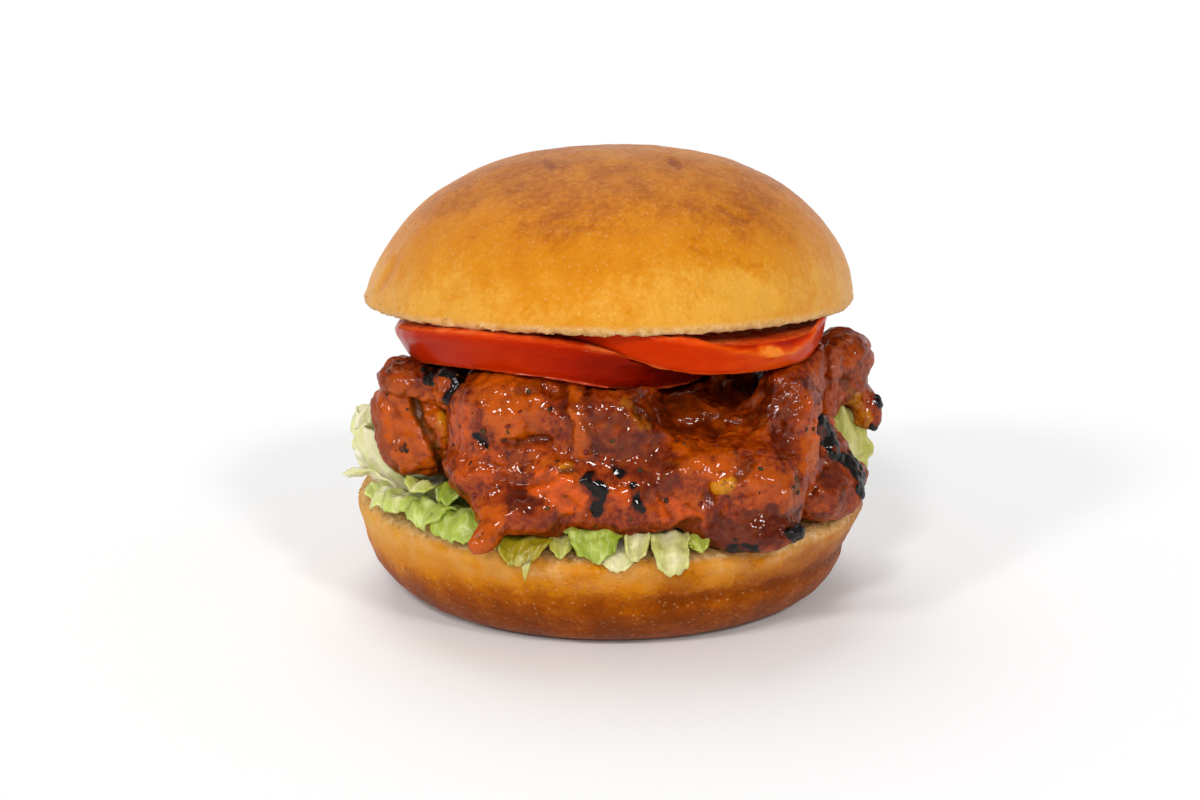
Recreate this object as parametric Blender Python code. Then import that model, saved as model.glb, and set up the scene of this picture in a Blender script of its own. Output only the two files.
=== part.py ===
"""Grilled chicken burger: a soft round bun cut in two, pieces of glazed chicken thigh,
two tomato slices and shredded lettuce, stacked as it is served.

Run it with: blender --background --python part.py

Metres, +Z up. The origin is the middle of the flat foot of the lower bun, and -Y is the
front of the burger. Sizes below are in millimetres and are multiplied by MM.
"""

import math
import random

import bmesh
import bpy
from mathutils import Euler, Matrix, Vector, noise

MM = 0.001

# Bun, from the foot up
FOOT_RADIUS = 41.4  # the flat of the lower bun
HEEL_RADIUS = 59.2  # widest ring of the lower bun
HEEL_RIM = 23.6  # height of the lower bun's rim
HEEL_FACE = 22.6  # height of its cut face in the middle
CREASE_HEIGHT = 12.6  # a fold that runs round the right half of the lower bun
CREASE_DEPTH = 1.3
CREASE_WIDTH = 2.0
CROWN_RADIUS = 55.4  # widest ring of the upper bun
CROWN_EDGE = 70.0  # height of that ring
CROWN_TOP = 102.7  # top of the burger
CROWN_HOLLOW = 3.6  # the soft underside arches up over the filling
CROWN_LEAN = 1.6  # degrees that the upper bun leans back
CROWN_SHIFT = 1.5  # how far its top sits to the right of its edge
BUN_SEGMENTS = 40

# Tomato slices
LEFT_SLICE_THICKNESS = 8.6
LEFT_SLICE_RADIUS = 36.9
RIGHT_SLICE_THICKNESS = 7.2
RIGHT_SLICE_RADIUS = 38.5
SLICE_SEGMENTS = 32

# Air left between pieces that rest on each other
GAP = 0.45

# Chicken surface
MEAT_VOXEL = 1.6
MEAT_RELIEF = 1.1  # depth of the broad knobs on the meat
MEAT_GRAIN = 9.0  # size of those knobs

# Lettuce
LEAF_THICKNESS = 1.2
BED_RADIUS = 52.0
BED_LOW = HEEL_FACE - 0.6
BED_HIGH = 26.8


def clear_scene():
    for old in list(bpy.data.objects):
        bpy.data.objects.remove(old)


def material(name, colour, roughness):
    made = bpy.data.materials.new(name)
    made.use_nodes = True
    shader = made.node_tree.nodes["Principled BSDF"]
    shader.inputs["Base Color"].default_value = (*colour, 1.0)
    shader.inputs["Roughness"].default_value = roughness
    shader.inputs["Metallic"].default_value = 0.0
    return made


def object_from(name, bm, finish=None):
    """A mesh object from bm, in a sheet of its own, with its faces turned outwards."""
    bmesh.ops.recalc_face_normals(bm, faces=bm.faces)
    mesh = bpy.data.meshes.new(name)
    bm.to_mesh(mesh)
    bm.free()
    if finish:
        mesh.materials.append(finish)
    made = bpy.data.objects.new(name, mesh)
    bpy.context.scene.collection.objects.link(made)
    return made


def as_helper(helper):
    """Marks a cutter, which shapes other pieces and is no part of the food."""
    helper.hide_render = True
    helper.display_type = "WIRE"
    return helper


def applied(made):
    """Bakes the modifiers of made into its mesh."""
    bpy.context.view_layer.update()
    graph = bpy.context.evaluated_depsgraph_get()
    mesh = bpy.data.meshes.new_from_object(made.evaluated_get(graph))
    made.modifiers.clear()
    made.data = mesh
    return made


def cut_clear(made, *cutters):
    """Takes the room that each cutter needs out of made."""
    for cutter in cutters:
        cut = made.modifiers.new("room for " + cutter.name, "BOOLEAN")
        cut.operation = "DIFFERENCE"
        cut.solver = "MANIFOLD"
        cut.object = cutter
    return made


def largest_body_only(made):
    """Drops the loose scraps that cutting leaves beside the main body."""
    applied(made)
    bm = bmesh.new()
    bm.from_mesh(made.data)
    unseen = set(bm.verts)
    bodies = []
    while unseen:
        seed = unseen.pop()
        body, edge = {seed}, [seed]
        while edge:
            for link in edge.pop().link_edges:
                for vert in link.verts:
                    if vert in unseen:
                        unseen.discard(vert)
                        body.add(vert)
                        edge.append(vert)
        bodies.append(body)
    keep = max(bodies, key=len)
    bmesh.ops.delete(bm, geom=[v for v in bm.verts if v not in keep], context="VERTS")
    bm.to_mesh(made.data)
    bm.free()
    return made


def soft_noise(point, size, seed):
    """Smooth noise from -1 to 1 that changes over about size millimetres."""
    return noise.noise((Vector(point) + Vector((seed * 37.0, seed * 11.0, seed * 5.0))) / size)


def turned(profile, segments):
    """Spins a profile of (radius, height) pairs, given from axis to axis, round Z."""
    bm = bmesh.new()
    verts = [bm.verts.new((r * MM, 0.0, z * MM)) for r, z in profile]
    edges = [bm.edges.new(pair) for pair in zip(verts, verts[1:])]
    bmesh.ops.spin(
        bm,
        geom=verts + edges,
        axis=(0, 0, 1),
        cent=(0, 0, 0),
        angle=2 * math.pi,
        steps=segments,
        use_merge=True,
    )
    bmesh.ops.remove_doubles(bm, verts=bm.verts, dist=0.01 * MM)
    return bm


def reshape(bm, move):
    """Moves each vertex by move(point), both in millimetres."""
    for vert in bm.verts:
        vert.co = Vector(move(vert.co / MM)) * MM


def near(angle, centre, spread):
    """1 at the angle centre, falling to 0 over spread degrees round the burger."""
    off = abs((angle - centre + 180) % 360 - 180)
    return max(0.0, 1 - (off / spread) ** 2) ** 2


def heel_profile():
    """Foot, flared side, rounded rim and cut face of the lower bun."""
    side = [(FOOT_RADIUS, 0.0), (46.0, 1.0), (49.8, 3.2), (52.2, 5.8), (54.2, 8.8)]
    side += [(55.8, 12.0), (57.1, 15.2), (58.4, 18.4), (HEEL_RADIUS, 20.8)]
    rim = [(58.3, 22.7), (56.2, HEEL_RIM), (52.0, HEEL_RIM - 0.3)]
    face = [(42.0, HEEL_FACE), (22.0, HEEL_FACE), (0.0, HEEL_FACE)]
    return [(0.0, 0.0), (22.0, 0.0), *side, *rim, *face]


def shape_heel(point, grown=0.0):
    """Gives the turned lower bun its crease, its soft waves and its uneven rim."""
    x, y, z = point
    radius = math.hypot(x, y)
    angle = math.degrees(math.atan2(y, x))
    share = min(1.0, radius / HEEL_RADIUS)
    height = z / HEEL_RIM
    waves = 0.9 * soft_noise((x, y, z), 34.0, 1) + 0.4 * soft_noise((x, y, z), 13.0, 2)
    right_side = near(angle, -28.0, 95.0)
    fold = math.exp(-(((z - CREASE_HEIGHT) / CREASE_WIDTH) ** 2)) * right_side
    belly = 1.5 * near(angle, 196.0, 55.0) * math.exp(-(((z - 9.5) / 6.0) ** 2))
    slim = -0.8 * near(angle, -5.0, 60.0) * math.exp(-(((z - 17.0) / 5.0) ** 2))
    push = grown + share * (waves * height + belly + slim - CREASE_DEPTH * fold)
    left_lift = 1.3 * near(angle, 180.0, 70.0)
    front_dip = -0.5 * near(angle, -80.0, 50.0)
    lift = share**3 * height * (left_lift + front_dip)
    if radius > 1.0:
        x, y = x * (1 + push / radius), y * (1 + push / radius)
    return x, y, z + lift + (grown if z > 1.0 else -grown)


def heel(name, finish=None, grown=0.0):
    bm = turned(heel_profile(), BUN_SEGMENTS)
    reshape(bm, lambda point: shape_heel(point, grown))
    return object_from(name, bm, finish)


def crown_profile():
    """Arched underside, rounded lower edge and dome of the upper bun."""
    under = [(r, CROWN_EDGE - 0.6 + CROWN_HOLLOW * (1 - (r / 52.0) ** 2)) for r in (0, 20, 38, 47)]
    edge = [(51.6, CROWN_EDGE - 1.9), (54.0, CROWN_EDGE - 1.7), (55.1, CROWN_EDGE - 0.7)]
    rings = 12
    dome = []
    for i in range(rings):
        rise = math.sin(i / rings * math.pi / 2) ** 1.25
        radius = CROWN_RADIUS * (1 - rise**1.6) ** (1 / 2.5)
        dome.append((radius, CROWN_EDGE + rise * (CROWN_TOP - CROWN_EDGE)))
    return [*under, *edge, *dome, (0.0, CROWN_TOP)]


def shape_crown(point):
    """Gives the turned upper bun its lean, its lip at the left and its hand-made waves."""
    x, y, z = point
    radius = math.hypot(x, y)
    angle = math.degrees(math.atan2(y, x))
    share = min(1.0, radius / CROWN_RADIUS)
    height = (z - CROWN_EDGE) / (CROWN_TOP - CROWN_EDGE)
    low = math.exp(-(((z - CROWN_EDGE) / 5.0) ** 2))
    waves = 0.5 * soft_noise((x, y, z), 40.0, 3) + 0.3 * soft_noise((x, y, z), 15.0, 4)
    lip = 0.5 * near(angle, 180.0, 32.0) * low
    push = share * waves + share * lip
    droop = -share**4 * low * (1.1 * near(angle, 180.0, 60.0) + 0.5 * near(angle, 0.0, 55.0))
    if radius > 1.0:
        x, y = x * (1 + push / radius), y * (1 + push / radius)
    x += CROWN_SHIFT * (max(0.0, height) ** 0.7 - 0.15)
    lean = math.radians(CROWN_LEAN)
    return x, y, z + droop - math.tan(lean) * y


def crown(name, finish):
    bm = turned(crown_profile(), BUN_SEGMENTS)
    reshape(bm, shape_crown)
    return object_from(name, bm, finish)


def slice_profile(radius, taper, thickness, grown):
    """Half section of a tomato slice about its middle plane, its skin leaning by taper."""
    half = thickness / 2 + grown
    out = radius + grown
    low = [(0.0, -half), (out * 0.45, -half), (out * 0.8, -half), (out - taper - 1.2, -half)]
    skin = [(out - taper, -half + 0.8), (out - taper * 0.45, 0.0), (out, half - 0.9)]
    high = [(out - 1.0, half), (out * 0.8, half), (out * 0.45, half), (0.0, half)]
    return low + skin + high


def left_slice_point(point):
    """The left slice lies on the chicken, high at the left and sinking towards the right."""
    x, y, z = point
    x, y = x - 11.2, y - 17.0
    sink = 5.4 / (1 + math.exp(-(x + 4.0) / 6.0))
    bend = 0.008 * max(0.0, -x - 27.0) ** 2
    return x, y, z + 64.6 - sink - bend


def right_slice_point(point):
    """The right slice lies over the left one, drapes off it and turns up at its right end."""
    x, y, z = point
    x, y = x + 10.0, y - 14.5
    drape = 8.4 / (1 + math.exp((x - 3.0) / 6.3))
    curl = 0.06 * max(0.0, x - 40.0) ** 2
    return x, y, z + 63.1 + drape + curl


def tomato(name, profile, place, finish=None):
    bm = turned(profile, SLICE_SEGMENTS)
    reshape(bm, place)
    return object_from(name, bm, finish)


def left_slice(name, finish=None, grown=0.0):
    profile = slice_profile(LEFT_SLICE_RADIUS, 3.2, LEFT_SLICE_THICKNESS, grown)
    return tomato(name, profile, left_slice_point, finish)


def right_slice(name, finish=None, grown=0.0):
    profile = slice_profile(RIGHT_SLICE_RADIUS, 1.4, RIGHT_SLICE_THICKNESS, grown)
    return tomato(name, profile, right_slice_point, finish)


# Each lump of meat is (x, y, z), (half width, half depth, half height), (turn about X, Y, Z
# in degrees) and how square it is (2 is an ellipsoid, 4 nearly a block), sizes in
# millimetres. A piece is its lumps grown together.
LEFT_PIECE = [
    ((-42.3, -22.0, 43.4), (8.3, 12.0, 9.8), (0, -19, -20), 4.5),
    ((-37.4, -26.0, 41.6), (5.2, 11.0, 8.6), (0, -8, -16), 3),
    ((-40.4, -26.0, 55.0), (10.0, 11.0, 3.2), (0, 3, -22), 3),
    ((-34.6, -38.0, 55.0), (3.6, 4.6, 4.6), (0, 0, 0), 2),
]
BACK_LOBE = [
    ((52.6, -9.0, 55.8), (6.2, 10.0, 6.6), (0, 0, 0), 2.4),
    ((54.6, -9.0, 49.8), (4.0, 8.0, 6.0), (0, 0, 0), 2),
    ((58.6, -8.5, 43.2), (3.6, 5.0, 4.7), (0, 8, 0), 2.6),
    ((48.0, -15.0, 50.0), (3.6, 9.0, 10.5), (0, 6, 0), 2),
]
RIGHT_FLAP = [
    ((45.5, -33.0, 31.8), (9.0, 12.0, 6.4), (0, 14, -34), 2.4),
    ((52.0, -30.5, 33.2), (4.3, 8.5, 4.4), (0, 40, -30), 2),
    ((47.5, -31.0, 38.8), (3.0, 8.0, 4.6), (0, 46, -30), 2),
    ((44.2, -33.5, 43.6), (2.6, 6.5, 5.0), (0, 14, -30), 2),
]
MAIN_FRONT = [
    ((-22.0, -40.0, 48.6), (13.0, 13.2, 11.6), (0, 0, 14), 3.2),
    ((-2.0, -41.0, 47.8), (15.0, 12.6, 11.2), (0, 0, 0), 3),
    ((20.0, -33.0, 43.0), (13.0, 12.0, 11.0), (0, 0, 0), 2),
    ((37.0, -36.0, 50.0), (7.5, 12.0, 9.5), (0, 8, -14), 2.2),
    ((43.6, -24.0, 53.0), (4.6, 10.0, 10.5), (0, 4, -10), 2),
    ((-25.0, -44.5, 37.6), (11.5, 10.0, 6.2), (0, 8, 20), 2.2),
    ((-11.5, -48.0, 38.6), (9.0, 9.6, 5.4), (0, 0, 8), 2),
    ((1.5, -47.0, 36.0), (13.0, 10.4, 8.6), (0, 0, 0), 2.2),
    ((14.5, -46.0, 38.0), (10.0, 11.5, 7.8), (0, 0, 0), 2),
    ((27.0, -45.5, 35.6), (14.5, 13.0, 10.4), (0, 4, -10), 2.4),
    ((38.5, -38.0, 37.0), (8.0, 13.0, 10.0), (0, 10, -28), 2),
    ((28.0, -53.5, 27.6), (11.5, 6.4, 4.2), (0, -4, -8), 2.4),
    ((-17.5, -51.5, 31.6), (12.0, 7.4, 5.2), (0, 4, 14), 2.4),
    ((3.0, -50.0, 31.0), (15.0, 8.0, 4.6), (0, 0, 0), 2.4),
    ((37.2, -47.0, 27.6), (3.0, 4.0, 2.8), (0, 0, 0), 2),
]
# A strand that hangs over the rim: where it starts, where it ends, how thick it is
FINGER = ((-19.5, -54.0, 34.5), (-27.2, -60.3, 26.8), 3.0)
MAIN_CORE = ((3.0, 0.0, 41.5), (42.0, 44.0, 14.0), (0, 0, 0), 3)
MAIN_TOP = ((0.0, 3.0, 53.0), (36.0, 40.0, 9.0), (0, 0, 0), 2.6)


def back_lumps():
    """Lumps round the back and sides of the main piece, by a rule with seeded variety."""
    draw = random.Random(7)
    lumps = []
    for step in range(9):
        angle = math.radians(8 + step * 22.5 + draw.uniform(-4, 4))
        reach = 40.0 + draw.uniform(-2.5, 2.5)
        for height in (36.0, 50.5):
            centre = (3 + reach * math.cos(angle), reach * math.sin(angle), height + draw.uniform(-2, 2))
            half = (draw.uniform(9, 13), draw.uniform(8, 11), draw.uniform(7.0, 9.5))
            lumps.append((centre, half, (0, draw.uniform(-12, 12), math.degrees(angle) + 90), 2.4))
    return lumps


def add_lump(bm, centre, half, turn, square, grown):
    made = bmesh.ops.create_icosphere(bm, subdivisions=3, radius=1.0)["verts"]
    for vert in made:
        vert.co /= sum(abs(part) ** square for part in vert.co) ** (1 / square)
    spin = Euler([math.radians(a) for a in turn]).to_matrix().to_4x4()
    size = Matrix.Diagonal((*[(h + grown) * MM for h in half], 1.0))
    bmesh.ops.transform(bm, matrix=Matrix.Translation(Vector(centre) * MM) @ spin @ size, verts=made)


def finger_lumps():
    """The strand as a row of small round lumps from its root to its tip."""
    root, tip, radius = FINGER
    root, tip = Vector(root), Vector(tip)
    beads = 6
    for bead in range(beads):
        along = bead / (beads - 1)
        thick = radius * (1.15 - 0.2 * along)
        yield tuple(root.lerp(tip, along)), (thick, thick, thick), (0, 0, 0), 2


def meat(name, lumps, seed, finish=None, grown=0.0, keep=0.5):
    """Grows lumps together into one knobbly piece of meat."""
    bm = bmesh.new()
    for centre, half, turn, square in lumps:
        add_lump(bm, centre, half, turn, square, grown)
    piece = object_from(name, bm, finish)
    skin = piece.modifiers.new("one skin", "REMESH")
    skin.mode = "VOXEL"
    skin.voxel_size = MEAT_VOXEL * MM
    soft = piece.modifiers.new("soft joins", "SMOOTH")
    soft.factor = 0.5
    soft.iterations = 3
    applied(piece)
    bm = bmesh.new()
    bm.from_mesh(piece.data)
    bm.normal_update()
    for vert in bm.verts:
        knobs = soft_noise(vert.co / MM, MEAT_GRAIN, seed) + 0.4 * soft_noise(vert.co / MM, 4.5, seed + 1)
        vert.co += vert.normal * MEAT_RELIEF * knobs * MM
    bm.to_mesh(piece.data)
    bm.free()
    fewer = piece.modifiers.new("fewer faces", "DECIMATE")
    fewer.ratio = keep
    return applied(piece)


def lettuce_bed():
    """The packed shreds between the lower bun and the chicken, as one uneven disc."""
    middle = (HEEL_RIM + BED_HIGH) / 2
    profile = [(0, BED_LOW), (30, BED_LOW), (BED_RADIUS - 2, BED_LOW), (BED_RADIUS, middle)]
    profile += [(BED_RADIUS - 2, BED_HIGH - 0.6), (30, BED_HIGH), (0, BED_HIGH)]
    bm = turned(profile, 26)

    def crumple(point):
        x, y, z = point
        radius = math.hypot(x, y)
        push = 2.4 * soft_noise((x, y, 0), 11.0, 9) * (radius / BED_RADIUS) ** 2
        if radius > 1.0:
            x, y = x * (1 + push / radius), y * (1 + push / radius)
        rise = 0.8 * soft_noise((x, y, 5), 9.0, 10) if z > middle else 0.0
        return x, y, z + rise

    reshape(bm, crumple)
    return object_from("bed", bm)


# Each leaf that shows grows out of the bed: where it starts, what it bends towards, where
# its tip is, how wide it is, which way its width lies (degrees, 0 is left to right), how
# wide its root and its tip are as shares of that, and how deep it ruffles.
SHOWN_LEAVES = [
    # left, standing behind the left piece of chicken
    ((-46, -14, 25.5), (-58.6, -13, 28), (-56.2, -11, 44.2), 11.5, -35, 0.7, 0.8, 1.2),
    ((-47, -16, 25.5), (-57.0, -16, 33.0), (-61.0, -12, 28.6), 9, -62, 1.0, 0.7, 0.8),
    # front left, lying round the rim
    ((-39, -30, 25.5), (-46, -37, 34.5), (-46.9, -41, 27.8), 15, -46, 1.0, 0.8, 0.9),
    ((-27, -40, 25.5), (-31.5, -49, 34.5), (-33.6, -53.8, 25.2), 15, -32, 1.0, 0.75, 0.9),
    ((-30, -36, 27), (-34, -43, 39.0), (-35.5, -46.8, 31.4), 11, -38, 1.0, 0.8, 0.8),
    ((-24, -44, 28), (-27, -50, 36.0), (-28.6, -53, 30.8), 4.5, -25, 1.0, 0.8, 0.3),
    # front, under the chicken and over the rim
    ((-17, -47, 25.0), (-18.5, -59, 28.6), (-19.6, -61.6, 22.4), 14, -10, 1.0, 0.6, 0.7),
    ((-17, -50, 25.0), (-17.6, -61.5, 27.0), (-18, -62.2, 19.8), 3.0, 0, 1.6, 0.5, 0.1),
    ((-4, -46, 25.3), (-4, -58.5, 32.0), (-3.5, -61, 23.4), 14, 0, 1.0, 0.7, 0.9),
    ((5, -46, 25.3), (5.5, -58, 31.0), (4.6, -61.2, 23.2), 6.5, 10, 1.0, 0.7, 0.5),
    ((1, -49, 24.8), (1, -60.4, 25.6), (1, -62.0, 21.2), 9, 0, 1.0, 0.8, 0.3),
    ((11.5, -46, 25.3), (11.5, -59, 30.5), (12.4, -62.2, 20.6), 10, 8, 0.9, 0.8, 0.7),
    ((17, -45, 25.3), (17.5, -56, 28.5), (18.4, -59, 24.6), 6, 12, 1.0, 0.7, 0.4),
    # right, a rib leaf that stands between the chicken and the bun
    ((46, -12, 25.5), (59.0, -15, 27.5), (52.6, -11, 44.6), 12.5, 30, 0.9, 0.8, 0.8),
    ((47, 2, 25.5), (58.5, 3, 29), (58.0, 4, 37.5), 13, 80, 0.9, 0.8, 1.1),
]


def hidden_side_leaves():
    """Leaves round the back, by a rule with seeded variety."""
    draw = random.Random(21)
    count = 10
    for step in range(count):
        turn = 26 + step * (136 / (count - 1)) + draw.uniform(-3, 3)
        across, up = math.cos(math.radians(turn)), math.sin(math.radians(turn))
        reach, tip_reach = draw.uniform(56.5, 58.5), draw.uniform(58.0, 61.0)
        bend, tip = draw.uniform(29.0, 33.5), draw.uniform(23.5, 33.0)
        root = (47 * across, 47 * up, 25.5)
        yield (
            root,
            (reach * across, reach * up, bend),
            (tip_reach * across, tip_reach * up, tip),
            draw.uniform(11, 17),
            turn + 90 + draw.uniform(-12, 12),
            1.0,
            draw.uniform(0.6, 0.9),
            draw.uniform(0.7, 1.3),
        )


def add_leaf(number, root, bend, tip, width, heading, root_share, tip_share, ruffle):
    """A ruffled leaf whose two faces are split alike, from its root in the bed to its tip."""
    root, bend, tip = Vector(root), Vector(bend), Vector(tip)
    across = Vector((math.cos(math.radians(heading)), math.sin(math.radians(heading)), 0.0))
    bm = bmesh.new()
    bmesh.ops.create_grid(bm, x_segments=3, y_segments=4, size=0.5)
    for vert in bm.verts:
        u, v = vert.co.x + 0.5, vert.co.y
        line = root * (1 - u) ** 2 + bend * 2 * u * (1 - u) + tip * u * u
        ahead = (bend - root) * (1 - u) + (tip - bend) * u
        face = ahead.cross(across).normalized()
        wide = width * (root_share + (tip_share - root_share) * u) * (1 - 0.25 * u**6)
        wave = ruffle * math.sin(2 * math.pi * (v * 1.8 + number * 0.37)) * (0.2 + 0.8 * u)
        shorter = ahead.normalized() * 1.6 * (2 * v) ** 2 * u**3
        vert.co = (line + across * v * wide + face * wave - shorter) * MM
    bmesh.ops.triangulate(bm, faces=bm.faces)
    leaf = object_from("leaf_%02d" % number, bm)
    body = leaf.modifiers.new("thickness", "SOLIDIFY")
    body.thickness = LEAF_THICKNESS * MM
    body.offset = 0.0
    return applied(leaf)


def lettuce(name, finish, *neighbours):
    """The lettuce heap: its bed with the leaves that show fused on."""
    heap = lettuce_bed()
    heap.name = name
    heap.data.materials.append(finish)
    loose = bpy.data.collections.new("leaves")
    bpy.context.scene.collection.children.link(loose)
    for number, leaf in enumerate([*SHOWN_LEAVES, *hidden_side_leaves()]):
        made = add_leaf(number, *leaf)
        bpy.context.scene.collection.objects.unlink(made)
        loose.objects.link(made)
    join = heap.modifiers.new("fused leaves", "BOOLEAN")
    join.operation = "UNION"
    join.solver = "MANIFOLD"
    join.operand_type = "COLLECTION"
    join.collection = loose
    applied(heap)
    for made in list(loose.objects):
        bpy.data.objects.remove(made)
    bpy.data.collections.remove(loose)
    return largest_body_only(cut_clear(heap, *neighbours))


def smooth_shading(made, angle):
    made.data.shade_smooth()
    made.data.set_sharp_from_angle(angle=math.radians(angle))


def main():
    clear_scene()
    bread = material("bread crust", (0.66, 0.33, 0.09), 0.55)
    flesh = material("tomato flesh", (0.55, 0.05, 0.01), 0.25)
    glaze = material("glazed chicken", (0.42, 0.10, 0.02), 0.3)
    leaf = material("lettuce leaf", (0.45, 0.58, 0.14), 0.4)

    bun_bottom = heel("bun_bottom", bread)
    bun_top = crown("bun_top", bread)
    tomato_left = left_slice("tomato_left", flesh)
    tomato_right = right_slice("tomato_right", flesh)

    heel_room = as_helper(heel("room_bun_bottom", grown=GAP))
    left_slice_room = as_helper(left_slice("room_tomato_left", grown=GAP))
    right_slice_room = as_helper(right_slice("room_tomato_right", grown=GAP))

    chicken_left = meat("chicken_left", LEFT_PIECE, 31, glaze, keep=0.28)
    chicken_lobe = meat("chicken_lobe", BACK_LOBE, 33, glaze, keep=0.28)
    chicken_flap = meat("chicken_flap", RIGHT_FLAP, 35, glaze, keep=0.28)
    left_room = as_helper(meat("room_left", LEFT_PIECE, 31, grown=GAP + 0.3, keep=0.25))
    lobe_room = as_helper(meat("room_lobe", BACK_LOBE, 33, grown=GAP + 0.3, keep=0.25))
    flap_room = as_helper(meat("room_flap", RIGHT_FLAP, 35, grown=GAP + 0.3, keep=0.25))

    main_lumps = [MAIN_CORE, MAIN_TOP, *MAIN_FRONT, *finger_lumps(), *back_lumps()]
    chicken_main = meat("chicken_main", main_lumps, 37, glaze, keep=0.085)
    main_room = as_helper(meat("room_main", main_lumps, 37, grown=GAP + 0.3, keep=0.06))

    slices = (left_slice_room, right_slice_room)
    cut_clear(bun_top, *slices)
    cut_clear(tomato_left, right_slice_room)
    cut_clear(chicken_left, *slices, heel_room)
    cut_clear(chicken_lobe, *slices, heel_room)
    cut_clear(chicken_flap, *slices, heel_room)
    cut_clear(chicken_main, *slices, heel_room, left_room, lobe_room, flap_room)
    for made in (bun_top, tomato_left, chicken_left, chicken_lobe, chicken_flap, chicken_main):
        largest_body_only(made)

    heap = lettuce("lettuce", leaf, heel_room, left_room, lobe_room, flap_room, main_room)

    for made in (bun_bottom, bun_top, tomato_left, tomato_right):
        smooth_shading(made, 40)
    for made in (chicken_left, chicken_lobe, chicken_flap, chicken_main, heap):
        smooth_shading(made, 60)


main()
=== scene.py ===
# %% [markdown]
# # A grilled chicken burger, piece by piece
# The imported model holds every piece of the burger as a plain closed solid, in metres, with
# the lower bun standing on z = 0 and the front of the burger towards -Y. Each piece below
# keeps the form and the place of its solid, gets its fine surface and its finish, and then
# stands for that solid.

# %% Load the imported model
import math
import random
from functools import partial

import bmesh
import bpy
import numpy as np
from mathutils import Euler, Matrix, Vector, geometry, noise


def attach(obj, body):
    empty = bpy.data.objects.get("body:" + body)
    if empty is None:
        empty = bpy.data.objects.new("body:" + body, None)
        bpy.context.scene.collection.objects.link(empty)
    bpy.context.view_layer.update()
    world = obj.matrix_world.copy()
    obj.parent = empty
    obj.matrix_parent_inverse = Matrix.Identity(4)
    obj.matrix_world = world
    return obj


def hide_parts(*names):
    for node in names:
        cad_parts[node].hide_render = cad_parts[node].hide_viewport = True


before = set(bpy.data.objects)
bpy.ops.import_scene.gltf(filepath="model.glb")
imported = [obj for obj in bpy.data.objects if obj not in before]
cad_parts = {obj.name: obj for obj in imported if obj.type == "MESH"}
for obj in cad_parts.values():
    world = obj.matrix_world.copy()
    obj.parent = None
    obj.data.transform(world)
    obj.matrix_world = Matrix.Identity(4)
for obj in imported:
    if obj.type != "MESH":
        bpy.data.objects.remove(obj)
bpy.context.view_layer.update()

MM = 0.001
print("solids:", sorted(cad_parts))

# %% [markdown]
# ## The camera
# The burger was seen from a little above, with a long lens. The same camera also tells where
# a mark on the meat goes: a point of the meat and the spot where it shows in the picture are
# tied by the lens alone. The picture is taken to be 1200 by 800.

# %% Camera
CAMERA_AT = np.array((-2.6, -450.0, 145.0))
CAMERA_PITCH = math.radians(12.7)
LENS_MM = 59.25
SENSOR_MM = 36.0
PICTURE = (1200, 800)

camera = bpy.data.objects.new("camera", bpy.data.cameras.new("camera"))
bpy.context.scene.collection.objects.link(camera)
camera.location = Vector(CAMERA_AT) * MM
camera.rotation_euler = (math.pi / 2 - CAMERA_PITCH, 0, 0)
camera.data.lens = LENS_MM
camera.data.sensor_width = SENSOR_MM
bpy.context.scene.camera = camera


def seen_at(points):
    """Where points (mm) show in the picture, in its pixels, and how far off they are."""
    right, away, up = (points - CAMERA_AT).T
    cos, sin = math.cos(CAMERA_PITCH), math.sin(CAMERA_PITCH)
    ahead = away * cos - up * sin
    above = away * sin + up * cos
    scale = LENS_MM / SENSOR_MM * PICTURE[0]
    across = PICTURE[0] / 2 + scale * right / ahead
    down = PICTURE[1] / 2 - scale * above / ahead
    return np.stack((across, down), axis=1), ahead


print("camera %.0f mm from the burger" % -CAMERA_AT[1])

# %% [markdown]
# ## Colours and nodes
# Colours are picked as a painter would see them on a screen, in hex, and turned into the
# linear light that Blender mixes. One helper adds a node with its settings and its inputs and
# gives back the output that feeds the next one, so that a material reads as a short list of
# what feeds what.

# %% Colour and node helpers
def colour(code):
    """An sRGB hex colour as linear red, green, blue and full alpha."""
    shares = [int(code[i : i + 2], 16) / 255 for i in (1, 3, 5)]
    light = [s / 12.92 if s <= 0.04045 else ((s + 0.055) / 1.055) ** 2.4 for s in shares]
    return (*light, 1.0)


def per(mm):
    """The scale of a pattern on Object coordinates whose grain is so many millimetres."""
    return 1.0 / (mm * MM)


def add_node(tree, kind, inputs=None, stops=None, out=None, **settings):
    """Adds one node. An input is a number, a colour or the output that feeds it."""
    made = tree.nodes.new("ShaderNode" + kind)
    for setting, value in settings.items():
        setattr(made, setting, value)
    if stops:
        while len(made.color_ramp.elements) < len(stops):
            made.color_ramp.elements.new(1.0)
        for element, (place, code) in zip(made.color_ramp.elements, sorted(stops.items())):
            element.position = place
            element.color = colour(code)
    for key, value in (inputs or {}).items():
        if isinstance(value, bpy.types.NodeSocket):
            tree.links.new(value, made.inputs[key])
        else:
            made.inputs[key].default_value = value
    in_use = [output for output in made.outputs if output.enabled]
    return made.outputs[out] if out else in_use[0] if in_use else None


def grain(place, mm, detail, roughness=0.5):
    """The inputs of a noise whose lumps are so many millimetres wide."""
    return {"Vector": place, "Scale": per(mm), "Detail": detail, "Roughness": roughness}


def new_material(name, *numbers):
    """An empty material, what adds its nodes, the place on the piece, and its stored numbers."""
    made = bpy.data.materials.new(name)
    made.use_nodes = True
    made.node_tree.nodes.clear()
    add = partial(add_node, made.node_tree)
    stored = [add("Attribute", out="Fac", attribute_name=number) for number in numbers]
    return made, add, add("TexCoord", out="Object"), *stored


def surfaced(made, add, inputs):
    """Ends a material with one shader that is fed as given."""
    add("OutputMaterial", {"Surface": add("BsdfPrincipled", inputs)})
    print("made", made.name)
    return made


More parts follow.
